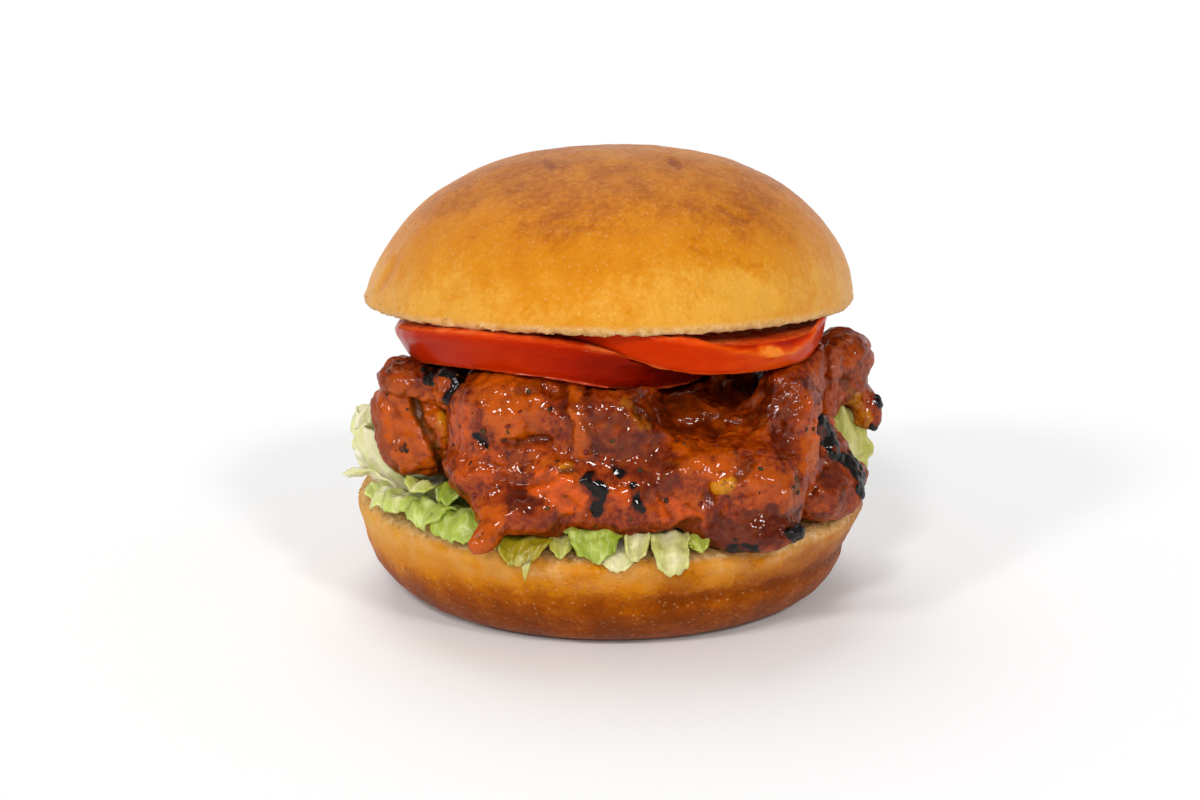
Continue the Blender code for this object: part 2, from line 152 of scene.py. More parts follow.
# %% [markdown]
# ## Shaping helpers
# Bread and tomato are turned on an axis like a pot and then pushed out of round by soft
# noise. The noise is the same that shaped the solids, so the dressed piece follows its solid
# and only adds what is finer. Numbers are in millimetres.

# %% Profiles and spins
SURFACE_SPACING = 0.9
ROOM_SPACING = 2.0
ROOM_SEGMENTS = 64


def softened(profile, spacing):
    """The corners of a profile joined by a smooth line, with a point about every spacing."""
    corners = [Vector(corner) for corner in profile]
    ahead = [*corners[1:], corners[-1]]
    behind = [corners[0], *corners[:-1]]
    lean = [(a - b).normalized() for a, b in zip(ahead, behind)]
    line = []
    for start, end, out, back in zip(corners, corners[1:], lean, lean[1:]):
        reach = (end - start).length
        steps = max(1, round(reach / spacing))
        knots = (start, start + out * reach / 3, end - back * reach / 3, end)
        line += [(max(0.0, p.x), p.y) for p in geometry.interpolate_bezier(*knots, steps + 1)[:-1]]
    return [*line, tuple(corners[-1])]


def turned(profile, segments):
    """Spins a profile of (radius, height) pairs, given from axis to axis, round Z."""
    bm = bmesh.new()
    verts = [bm.verts.new((r * MM, 0.0, z * MM)) for r, z in profile]
    edges = [bm.edges.new(pair) for pair in zip(verts, verts[1:])]
    bmesh.ops.spin(
        bm,
        geom=verts + edges,
        axis=(0, 0, 1),
        cent=(0, 0, 0),
        angle=2 * math.pi,
        steps=segments,
        use_merge=True,
    )
    bmesh.ops.remove_doubles(bm, verts=bm.verts, dist=0.01 * MM)
    bmesh.ops.recalc_face_normals(bm, faces=bm.faces)
    return bm


def points_of(bm):
    return np.array([vert.co for vert in bm.verts]) / MM


def normals_of(bm):
    bm.normal_update()
    return np.array([vert.normal for vert in bm.verts])


def move_to(bm, points):
    for vert, place in zip(bm.verts, (points * MM).tolist()):
        vert.co = place


def push_out(bm, mm):
    """Moves each vertex along its normal by its number of millimetres."""
    move_to(bm, points_of(bm) + normals_of(bm) * mm[:, None])


# %% Noise and masks
def field(points, size, seed, stretch=(1.0, 1.0, 1.0)):
    """Soft noise at each point, from -1 to 1, that changes over about size millimetres."""
    places = (points * stretch + np.array((37.0, 11.0, 5.0)) * seed) / size
    return np.array([noise.noise(place) for place in places.tolist()])


def near(angle, centre, spread):
    """1 at the angle centre, falling to 0 over spread degrees round the burger."""
    off = np.abs((angle - centre + 180) % 360 - 180)
    return np.clip(1 - (off / spread) ** 2, 0, None) ** 2


def bump_at(values, centre, spread):
    """A soft hump, 1 at centre."""
    return np.exp(-(((values - centre) / spread) ** 2))


def ramp_up(values, start, end):
    """0 below start and 1 above end, smooth between."""
    share = np.clip((values - start) / (end - start), 0, 1)
    return share * share * (3 - 2 * share)


def facing(points, normals):
    """1 where a point faces the camera, 0 where it turns away."""
    to_camera = CAMERA_AT - points
    to_camera /= np.linalg.norm(to_camera, axis=1)[:, None]
    return ramp_up((normals * to_camera).sum(axis=1), -0.1, 0.25)


def along(pixels, line):
    """How far each pixel place is from a line of points."""
    line = np.array(line, float)
    best = np.full(len(pixels), 1e9)
    for start, end in zip(line, line[1:]):
        step = end - start
        share = np.clip((pixels - start) @ step / (step @ step), 0, 1)
        best = np.minimum(best, np.linalg.norm(pixels - start - share[:, None] * step, axis=1))
    return best


# %% Pieces and modifiers
def store(bm, name, values):
    """Keeps one number per vertex for the material to read."""
    layer = bm.verts.layers.float.new(name)
    for vert, value in zip(bm.verts, np.asarray(values, float).tolist()):
        vert[layer] = value


def object_from(name, bm, surface=None):
    mesh = bpy.data.meshes.new(name)
    bm.to_mesh(mesh)
    bm.free()
    if surface:
        mesh.materials.append(surface)
    mesh.shade_smooth()
    made = bpy.data.objects.new(name, mesh)
    bpy.context.scene.collection.objects.link(made)
    return made


def through(bm, *steps):
    """The shape of bm after Blender's modifiers, each given as its kind and settings."""
    holder = object_from("holder", bm)
    for kind, settings in steps:
        modifier = holder.modifiers.new(kind.lower(), kind)
        for setting, value in settings.items():
            setattr(modifier, setting, value)
    bpy.context.view_layer.update()
    graph = bpy.context.evaluated_depsgraph_get()
    mesh = bpy.data.meshes.new_from_object(holder.evaluated_get(graph))
    made = bmesh.new()
    made.from_mesh(mesh)
    bpy.data.objects.remove(holder)
    bpy.data.meshes.remove(mesh)
    return made


def without(bm, *rooms):
    """Cuts the room of each neighbour, given as a bmesh, out of bm."""
    cutters = [object_from("room", room) for room in rooms]
    steps = [
        ("BOOLEAN", {"operation": "DIFFERENCE", "solver": "MANIFOLD", "object": cutter})
        for cutter in cutters
    ]
    made = through(bm, *steps)
    for cutter in cutters:
        bpy.data.objects.remove(cutter)
    return made


def finish_piece(name, bm, surface, slot, *nodes):
    """Turns bm into a piece that rides on the burger and stands for its solids."""
    piece = object_from(name, bm, surface)
    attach(piece, "root")
    if nodes:
        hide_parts(*nodes)
    print("%-18s %6d faces" % (name, len(piece.data.polygons)))
    return piece


# %% [markdown]
# ## The crust
# Soft burger buns are brushed with egg before they bake. Egg and sugar brown first where the
# oven's heat strikes, so the dome is the darkest and the sides, where the buns rose against
# the tin's warm air, stay yellow. The egg leaves a thin satin film on the dome alone, and the
# lower bun stays matt, so one recipe makes two crusts. It reads two numbers that the shaping
# cells leave on each vertex: how much that spot is baked, with painted light and shade added
# in places, and how much of it is open crumb.

# %% Bread material
BROWNING = {0.0: "#D29634", 0.2: "#C88014", 0.42: "#BE7206"}
BROWNING |= {0.62: "#A05404", 0.82: "#883E02", 1.0: "#723202"}
OPEN_CRUMB = {0.3: "#B07C38", 0.5: "#D0A468", 0.7: "#E8C898"}


def bread_material(name, gloss, sheen):
    made, add, place, baked_and_painted_light, cut = new_material(name, "baked_and_painted_light", "cut")
    # broad clouds where the egg lay thicker, and the fine blush of the crust
    clouds = add("TexNoise", grain(place, 14, 4, 0.6))
    blush = add("TexNoise", grain(place, 1.6, 5, 0.7))
    pores = add("TexVoronoi", {"Vector": place, "Scale": per(1.7), "Randomness": 1.0})
    flecks = add("TexVoronoi", {"Vector": place, "Scale": per(1.5), "Randomness": 1.0})
    uneven = add("Math", {0: clouds, 1: 0.26, 2: -0.44}, operation="MULTIPLY_ADD")
    uneven = add("Math", {0: blush, 1: 0.62, 2: uneven}, operation="MULTIPLY_ADD")
    depth = add("Math", {0: baked_and_painted_light, 1: uneven}, operation="ADD")
    crust = add("ValToRGB", {0: depth}, BROWNING)
    # tiny pale flecks of flour, then dark pin holes
    spots = ((flecks, 0.08, 0.26, 0.22, "#E4B87C"), (pores, 0.02, 0.16, 0.18, "#8A4A12"))
    for cells, start, end, most, code in spots:
        spot = add("MapRange", {0: cells, 1: start, 2: end, 3: most, 4: 0.0})
        crust = add("Mix", {0: spot, 6: crust, 7: colour(code)}, data_type="RGBA")
    sponge = add("TexNoise", grain(place, 1.6, 6, 0.7))
    crumb = add("ValToRGB", {0: sponge}, OPEN_CRUMB)
    base = add("Mix", {0: cut, 6: crust, 7: crumb}, data_type="RGBA")
    satin = add("MapRange", {0: blush, 1: 0.3, 2: 0.7, 3: 0.34, 4: 0.5})
    rough = add("Mix", {0: cut, 2: satin, 3: 0.9}, data_type="FLOAT")
    # the skin of the crust wrinkles finely, and the crumb is a sponge
    relief = add("TexNoise", grain(place, 0.9, 4, 0.6))
    pits = add("MapRange", {0: pores, 1: 0.0, 2: 0.25, 3: -0.5, 4: 0.0})
    skin = add("Math", {0: relief, 1: pits}, operation="ADD")
    height = add("Mix", {0: cut, 2: skin, 3: sponge}, data_type="FLOAT")
    reach = add("Mix", {0: cut, 2: 0.6, 3: 0.9}, data_type="FLOAT")
    bumps = add("Bump", {"Strength": reach, "Distance": 0.6 * MM, "Height": height})
    film = {"Specular IOR Level": gloss, "Specular Tint": colour("#FFB878"), "IOR": 1.45}
    film |= {"Sheen Weight": sheen, "Sheen Roughness": 0.45, "Sheen Tint": colour("#FFDCCB")}
    depth = {"Subsurface Weight": 0.12, "Subsurface Scale": 2.0 * MM}
    surface = {"Base Color": base, "Roughness": rough, "Metallic": 0.0, "Normal": bumps}
    return surfaced(made, add, {**surface, **depth, **film})


washed_crust = bread_material("egg-washed bread crust", 0.3, 0.1)
plain_crust = bread_material("matt bread crust", 0.08, 0.01)

# %% [markdown]
# ## The lower bun
# The heel of the bun was cut with a knife and carries everything else. It flares upwards,
# a soft fold runs round its right half where the burger's weight presses it, and its cut
# rim is ragged with crumbs. It is turned from a smooth half section, shaped by the same
# rule as its solid, and then roughened.

# %% Lower bun
FOOT_RADIUS = 41.4
HEEL_RADIUS = 59.2
HEEL_RIM = 23.6
HEEL_FACE = 22.6
CREASE_HEIGHT = 12.6
CREASE_DEPTH = 1.3
CREASE_WIDTH = 2.0
BUN_SEGMENTS = 400


def heel_profile():
    side = [(FOOT_RADIUS, 0.0), (46.0, 1.0), (49.8, 3.2), (52.2, 5.8), (54.2, 8.8)]
    side += [(55.8, 12.0), (57.1, 15.2), (58.4, 18.4), (HEEL_RADIUS, 20.8)]
    rim = [(58.3, 22.7), (56.2, HEEL_RIM), (52.0, HEEL_RIM - 0.3)]
    face = [(42.0, HEEL_FACE), (22.0, HEEL_FACE), (0.0, HEEL_FACE)]
    return [(0.0, 0.0), (22.0, 0.0), *side, *rim, *face]


def shape_heel(points, grown=0.0):
    """Gives the turned lower bun its crease, its soft waves and its uneven rim."""
    x, y, z = points.T
    radius = np.maximum(np.hypot(x, y), 1.0)
    angle = np.degrees(np.arctan2(y, x))
    share = np.minimum(1.0, radius / HEEL_RADIUS)
    height = z / HEEL_RIM
    waves = 0.9 * field(points, 34.0, 1) + 0.4 * field(points, 13.0, 2)
    fold = bump_at(z, CREASE_HEIGHT, CREASE_WIDTH) * near(angle, -28.0, 95.0)
    belly = 1.5 * near(angle, 196.0, 55.0) * bump_at(z, 9.5, 6.0)
    slim = -0.8 * near(angle, -5.0, 60.0) * bump_at(z, 17.0, 5.0)
    push = grown + share * (waves * height + belly + slim - CREASE_DEPTH * fold)
    uneven = 1.3 * near(angle, 180.0, 70.0) - 0.5 * near(angle, -80.0, 50.0)
    lift = share**3 * height * uneven + np.where(z > 1.0, grown, -grown)
    return np.stack((x * (1 + push / radius), y * (1 + push / radius), z + lift), axis=1)


def heel_body(spacing, segments, grown=0.0):
    bm = turned(softened(heel_profile(), spacing), segments)
    move_to(bm, shape_heel(points_of(bm), grown))
    return bm


def lower_bun():
    bm = heel_body(SURFACE_SPACING, BUN_SEGMENTS)
    points, normals = points_of(bm), normals_of(bm)
    x, y, z = points.T
    angle = np.degrees(np.arctan2(y, x))
    border = z - HEEL_FACE - 1.3 * near(angle, 180.0, 70.0) + 1.0 * field(points, 2.4, 51)
    border += 1.4 * near(angle, -42.0, 45.0)
    cut = ramp_up(normals[:, 2], 0.05, 0.5) * ramp_up(border, -0.9, 0.5)
    crumby = np.clip(0.24 + 0.5 * field(points, 3.4, 59), 0.0, 0.6) * ramp_up(z, 14.0, 21.5)
    dents = 0.22 * field(points, 7.0, 52) + 0.10 * field(points, 2.6, 53)
    shallow = 0.30 * field(points, 5.0, 54, (1.0, 1.0, 2.6)) * bump_at(z, CREASE_HEIGHT, 5.0)
    sponge = -0.7 * np.abs(field(points, 2.2, 55)) - 0.35 * np.abs(field(points, 1.1, 56)) + 0.25
    crust_push = (dents + shallow) * ramp_up(z, 0.2, 3.0)
    push_out(bm, crust_push * (1 - cut) + sponge * cut)
    flat = points_of(bm)
    flat[:, 2] = np.maximum(flat[:, 2], 0.0)
    move_to(bm, flat)
    # painted light and shade: the left side is lighter where the light falls, and the fold and the right
    # side under the meat are darker as painted shade. Towards the foot the crust is browner, deepened
    # further as painted shade for the poorly lit underside.
    side_light = 0.2 * near(angle, 200.0, 65.0) * ramp_up(z, 9.0, 19.0)
    streaks = 0.20 * field(points, 8.0, 57, (1.0, 1.0, 0.25)) + 0.10 * field(points, 3.5, 58)
    fold_shade = 0.32 * bump_at(z, CREASE_HEIGHT - 0.3, 1.5) * near(angle, -28.0, 95.0)
    right_painted_shade = 0.42 * near(angle, -15.0, 75.0) * ramp_up(z, 10.0, 18.0)
    baked_and_painted_light = 0.92 - 0.64 * ramp_up(z, 5.5, 22.0) - side_light + right_painted_shade + streaks + fold_shade
    store(bm, "baked_and_painted_light", baked_and_painted_light)
    store(bm, "cut", np.maximum(cut, crumby))
    return finish_piece("lower_bun", bm, plain_crust, "bread", "bun_bottom")


heel = lower_bun()

# %% [markdown]
# ## The tomato slices
# Two thick slices cut across the fruit. What shows is mostly their skin, a smooth waxy band
# that leans in towards the cut side, and a little of the wet flesh on top of the right one.
# They are made before the upper bun and the meat, because both have to leave them room.

# %% Tomato shapes
LEFT_SLICE = {"radius": 36.9, "taper": 3.2, "thickness": 8.6}
RIGHT_SLICE = {"radius": 38.5, "taper": 1.4, "thickness": 7.2}
SLICE_SEGMENTS = 320
SLICE_SPACING = 0.8
GAP = 0.45


def slice_profile(radius, taper, thickness, grown=0.0):
    half = thickness / 2 + grown
    out = radius + grown
    low = [(0.0, -half), (out * 0.45, -half), (out * 0.8, -half), (out - taper - 1.2, -half)]
    skin = [(out - taper, -half + 0.8), (out - taper * 0.45, 0.0), (out, half - 0.9)]
    high = [(out - 1.0, half), (out * 0.8, half), (out * 0.45, half), (0.0, half)]
    return low + skin + high


def left_slice_place(points):
    """High at the left, sinking towards the right, as the slice lies on the meat."""
    x, y, z = points.T
    x, y = x - 11.2, y - 17.0
    sink = 5.4 / (1 + np.exp(-(x + 4.0) / 6.0))
    bend = 0.008 * np.maximum(0.0, -x - 27.0) ** 2
    return np.stack((x, y, z + 64.6 - sink - bend), axis=1)


def right_slice_place(points):
    """Lies over the left slice, drapes off it and turns up at its right end."""
    x, y, z = points.T
    x, y = x + 10.0, y - 14.5
    drape = 8.4 / (1 + np.exp((x - 3.0) / 6.3))
    curl = 0.06 * np.maximum(0.0, x - 40.0) ** 2
    return np.stack((x, y, z + 63.1 + drape + curl), axis=1)


def slice_body(sizes, place, spacing, segments, grown=0.0):
    bm = turned(softened(slice_profile(**sizes, grown=grown), spacing), segments)
    move_to(bm, place(points_of(bm)))
    return bm


def left_room(gap):
    """The room that the left slice takes up, a gap larger all round."""
    return slice_body(LEFT_SLICE, left_slice_place, ROOM_SPACING, ROOM_SEGMENTS, gap)


def right_room(gap):
    return slice_body(RIGHT_SLICE, right_slice_place, ROOM_SPACING, ROOM_SEGMENTS, gap)


# %% [markdown]
# Tomato skin is a smooth wax over red flesh, so it has a clear, narrow shine; the flesh under
# it is wet and lets light in a few millimetres. Faint pale lines run through the flesh.

# %% Tomato material
# the darkest reds show where painted shade lies on the slices, the palest mostly at the painted highlight on
# the seeds
RED_SKIN = {0.0: "#540500", 0.3: "#961600", 0.6: "#B82C00", 0.82: "#CC4A04", 1.0: "#DE7A24"}
WET_FLESH = {0.3: "#BC2C08", 0.5: "#DC4C14", 0.72: "#EE7C3C"}


def tomato_material():
    made, add, place, rim, tint = new_material("ripe tomato", "skin", "tint")
    clouds = add("TexNoise", grain(place, 9, 4, 0.6))
    drawn = add("Mapping", {"Vector": place, "Scale": (1.0, 1.0, 5.0)})
    lines = add("TexNoise", grain(drawn, 4.5, 5, 0.6))
    shade = add("Math", {0: lines, 1: 0.32, 2: tint}, operation="MULTIPLY_ADD")
    shade = add("Math", {0: shade, 1: -0.16}, operation="ADD")
    skin = add("ValToRGB", {0: shade}, RED_SKIN)
    flesh = add("ValToRGB", {0: clouds}, WET_FLESH)
    base = add("Mix", {0: rim, 6: flesh, 7: skin}, data_type="RGBA")
    fine_grain = add("TexNoise", grain(place, 1.3, 4, 0.6))
    reach = add("Mix", {0: rim, 2: 0.45, 3: 0.05}, data_type="FLOAT")
    bumps = add("Bump", {"Strength": reach, "Distance": 0.5 * MM, "Height": fine_grain})
    rough = add("MapRange", {0: clouds, 1: 0.3, 2: 0.7, 3: 0.2, 4: 0.34})
    wax = {"Specular IOR Level": 0.14, "Specular Tint": colour("#FF7A48"), "IOR": 1.36}
    wax |= {"Coat Weight": 0.05, "Coat Roughness": 0.1}
    depth = {"Subsurface Weight": 0.25, "Subsurface Scale": 2.5 * MM}
    depth["Subsurface Radius"] = (1.0, 0.25, 0.1)
    surface = {"Base Color": base, "Roughness": rough, "Metallic": 0.0, "Normal": bumps}
    return surfaced(made, add, {**surface, **depth, **wax})


tomato = tomato_material()

# %% Tomato slices
# The right slice tips up at its right end. Above the face line of the picture its wet face
# shows, darkened as painted shade under the bun, with a few pale seeds along the seed line
# that carry a painted highlight.
SEED_HIGHLIGHT_LINE = [(764, 347), (776, 350)]
FACE_LINE = [(672, 334), (700, 342), (735, 349), (768, 354), (792, 350), (808, 339), (817, 322)]


def wet_face(points, normals):
    """How far a spot of the right slice lies in its open face, and how near its rim."""
    pixels, front = seen_at(points)[0], facing(points, normals)
    line = np.array(FACE_LINE, float)
    level = np.interp(pixels[:, 0], line[:, 0], line[:, 1])
    inside = (pixels[:, 0] > line[0, 0]) & (pixels[:, 0] < line[-1, 0])
    depth = ramp_up(level - pixels[:, 1], 0.0, 4.0) * inside * front
    rim = np.exp(-((along(pixels, FACE_LINE) - 1.0) / 3.0) ** 2) * front * inside
    return depth, rim


def tomato_slice(name, node, sizes, place, seed, tint, *rooms):
    bm = slice_body(sizes, place, SLICE_SPACING, SLICE_SEGMENTS)
    if rooms:
        bm = without(bm, *rooms)
    points, normals = points_of(bm), normals_of(bm)
    side = 1 - np.abs(normals[:, 2])
    skin = ramp_up(side, 0.12, 0.4)
    waves = 0.28 * field(points, 11.0, seed) + 0.12 * field(points, 4.0, seed + 1)
    flesh = 0.22 * field(points, 2.2, seed + 2) * (1 - skin)
    push = waves * skin + flesh
    tints = tint(points)
    if node == "tomato_right":
        depth, rim = wet_face(points, normals)
        seed_highlight = np.clip(1 - (along(seen_at(points)[0], SEED_HIGHLIGHT_LINE) / 9) ** 2, 0, 1)
        # painted shade darkens the open face under the bun, its rim is lighter, and the pale seeds get a
        # painted highlight
        push += 0.4 * rim - 0.9 * depth + 0.9 * seed_highlight * field(points, 1.6, 69)
        tints += 0.22 * rim - 0.42 * depth + seed_highlight**2 * (0.5 + 0.5 * field(points, 1.8, 70))
    push_out(bm, push)
    store(bm, "skin", skin)
    store(bm, "tint", tints)
    return finish_piece(name, bm, tomato, "tomato", node)


def left_tint(points):
    """Deep red, darker than the right slice as painted shade, and more so towards the right, where the other
    slice lies over it.
    """
    return 0.42 - 0.52 * ramp_up(points[:, 0], -22.0, 20.0) + 0.12 * field(points, 16.0, 61)


def right_tint(points):
    """Brighter and more orange towards the right, and browner again at its very end."""
    browner = 0.16 * ramp_up(points[:, 0], 36.0, 47.0)
    return 0.55 + 0.14 * ramp_up(points[:, 0], 8.0, 40.0) - browner + 0.12 * field(points, 16.0, 62)


left = (LEFT_SLICE, left_slice_place, 63, left_tint)
right = (RIGHT_SLICE, right_slice_place, 66, right_tint)
tomato_slice("tomato_slice_left", "tomato_left", *left, right_room(GAP))
tomato_slice("tomato_slice_right", "tomato_right", *right)

# %% [markdown]
# ## The upper bun
# A plain smooth dome that leans back a little. Its lower edge is where the knife went
# through: the crust ends there in a slightly ragged line with small crumbs, and the arched
# underside is open crumb that has settled over the tomato.

# %% Upper bun
CROWN_RADIUS = 55.4
CROWN_EDGE = 70.0
CROWN_TOP = 102.7
CROWN_HOLLOW = 3.6
CROWN_LEAN = math.radians(1.6)
CROWN_SHIFT = 1.5
CROWN_SEAT = 0.12

# Small creases and dents of this bun, as lines in the picture: darkening, push, reach, line.
# The first two are reddish spots of the crust. In the creases after them the darkening is
# painted shade, and a darkening below nought lightens a dent as a painted highlight.
CROWN_MARKS = [
    (0.26, -0.12, 4.5, [(546, 162), (553, 167)]),
    (0.30, -0.12, 4.5, [(671, 161), (679, 166)]),
    (0.14, -0.22, 4.0, [(720, 207), (735, 217), (748, 221)]),
    (0.18, -0.30, 4.0, [(736, 258), (748, 268), (761, 263)]),
    (0.12, -0.25, 4.0, [(690, 246), (706, 254), (722, 254)]),
    (0.10, -0.20, 4.0, [(640, 262), (634, 280)]),
    (0.10, -0.18, 4.5, [(560, 226), (590, 230)]),
    (-0.12, -0.55, 17.0, [(722, 282), (744, 286)]),
    (-0.12, -0.40, 12.0, [(768, 296), (774, 304)]),
    (-0.06, -0.45, 20.0, [(446, 268), (452, 276)]),
    (0.14, -0.60, 4.5, [(377, 290), (388, 274), (396, 258)]),
]


def crown_profile():
    under = [(r, CROWN_EDGE - 0.6 + CROWN_HOLLOW * (1 - (r / 52.0) ** 2)) for r in (0, 20, 38, 47)]
    edge = [(51.6, CROWN_EDGE - 1.9), (54.0, CROWN_EDGE - 1.7), (55.1, CROWN_EDGE - 0.7)]
    rings = 12
    dome = []
    for i in range(rings):
        rise = math.sin(i / rings * math.pi / 2) ** 1.25
        radius = CROWN_RADIUS * (1 - rise**1.6) ** (1 / 2.5)
        dome.append((radius, CROWN_EDGE + rise * (CROWN_TOP - CROWN_EDGE)))
    return [*under, *edge, *dome, (0.0, CROWN_TOP)]


def shape_crown(points):
    """Gives the turned upper bun its lean, its lip at the left and its soft waves."""
    x, y, z = points.T
    radius = np.maximum(np.hypot(x, y), 1.0)
    angle = np.degrees(np.arctan2(y, x))
    share = np.minimum(1.0, radius / CROWN_RADIUS)
    height = (z - CROWN_EDGE) / (CROWN_TOP - CROWN_EDGE)
    low = bump_at(z, CROWN_EDGE, 5.0)
    waves = 0.5 * field(points, 40.0, 3) + 0.3 * field(points, 15.0, 4)
    push = share * (waves + 0.5 * near(angle, 180.0, 32.0) * low)
    droop = 1.1 * near(angle, 180.0, 60.0) + 0.5 * near(angle, 0.0, 55.0)
    x = x * (1 + push / radius) + CROWN_SHIFT * (np.maximum(0.0, height) ** 0.7 - 0.15)
    y = y * (1 + push / radius)
    return np.stack((x, y, z - share**4 * low * droop - math.tan(CROWN_LEAN) * y), axis=1)


def upper_bun():
    bm = turned(softened(crown_profile(), SURFACE_SPACING), BUN_SEGMENTS)
    move_to(bm, shape_crown(points_of(bm)))
    bm = without(bm, left_room(CROWN_SEAT), right_room(CROWN_SEAT))
    points, normals = points_of(bm), normals_of(bm)
    radius = np.hypot(points[:, 0], points[:, 1])
    rise = points[:, 2] + math.tan(CROWN_LEAN) * points[:, 1] - CROWN_EDGE
    ragged = 0.5 * field(points, 1.8, 71) + 0.4 * field(points, 5.0, 72)
    cut = ramp_up(-normals[:, 2] + 0.25 * ragged, 0.35, 0.7) * ramp_up(-rise, -5.0, -3.5)
    dents = 0.26 * field(points, 9.0, 73) + 0.10 * field(points, 3.2, 74)
    wrinkles = 0.09 * np.abs(field(points, 3.0, 75, (0.35, 1.0, 1.6)))
    sponge = -0.6 * np.abs(field(points, 2.2, 76)) - 0.3 * np.abs(field(points, 1.0, 77))
    sponge = sponge * (1 - 0.7 * ramp_up(radius, 46.0, 51.0)) + 0.22
    frill = 0.55 * field(points, 1.7, 78) + 0.45 * ramp_up(radius, 52.0, 53.6)
    frill *= bump_at(rise, -1.5, 0.8)
    push = (dents - wrinkles) * (1 - cut) + sponge * cut + frill
    bake_height = ramp_up(rise, 1.0, 26.0)
    baked_and_painted_light = 0.05 + 0.49 * bake_height + 0.12 * field(points, 22.0, 79) + 0.12 * field(points, 5.0, 80)
    pixels, front = seen_at(points)[0], facing(points, normals)
    # the marks darken the crust: painted shade in its creases, painted highlight where the darkening is
    # below nought, besides two reddish spots
    for darker, mark_push, reach, line in CROWN_MARKS:
        soft = front * np.clip(1 - (along(pixels, line) / reach) ** 2, 0, 1)
        push += mark_push * soft
        baked_and_painted_light += darker * soft
    push_out(bm, push)
    store(bm, "baked_and_painted_light", baked_and_painted_light)
    store(bm, "cut", cut)
    return finish_piece("upper_bun", bm, washed_crust, "bread", "bun_top")


crown = upper_bun()

# %% [markdown]
# ## The chicken
# Boned thigh, marinated, glazed and grilled: knobbly muscle with folds and strands, orange
# where the glaze is thin, maroon where it has thickened, black where the grill burnt it.
# Every solid of meat is copied, merged and rebuilt as an even skin of small faces. Noise in
# three sizes gives knobs, blisters and grain, and a table of marks then says where a fold
# sinks, a lump swells and what colour the spot has, including the painted shadow of the
# right tomato on the meat.
#
# A mark is a line as it shows in the picture, in pixels, with its reach in pixels, how far
# it pushes the meat in millimetres and how strongly it colours each layer.

# %% Marks on the meat
LAYERS = ("char", "deep", "amber", "gold", "red", "groove", "pale")

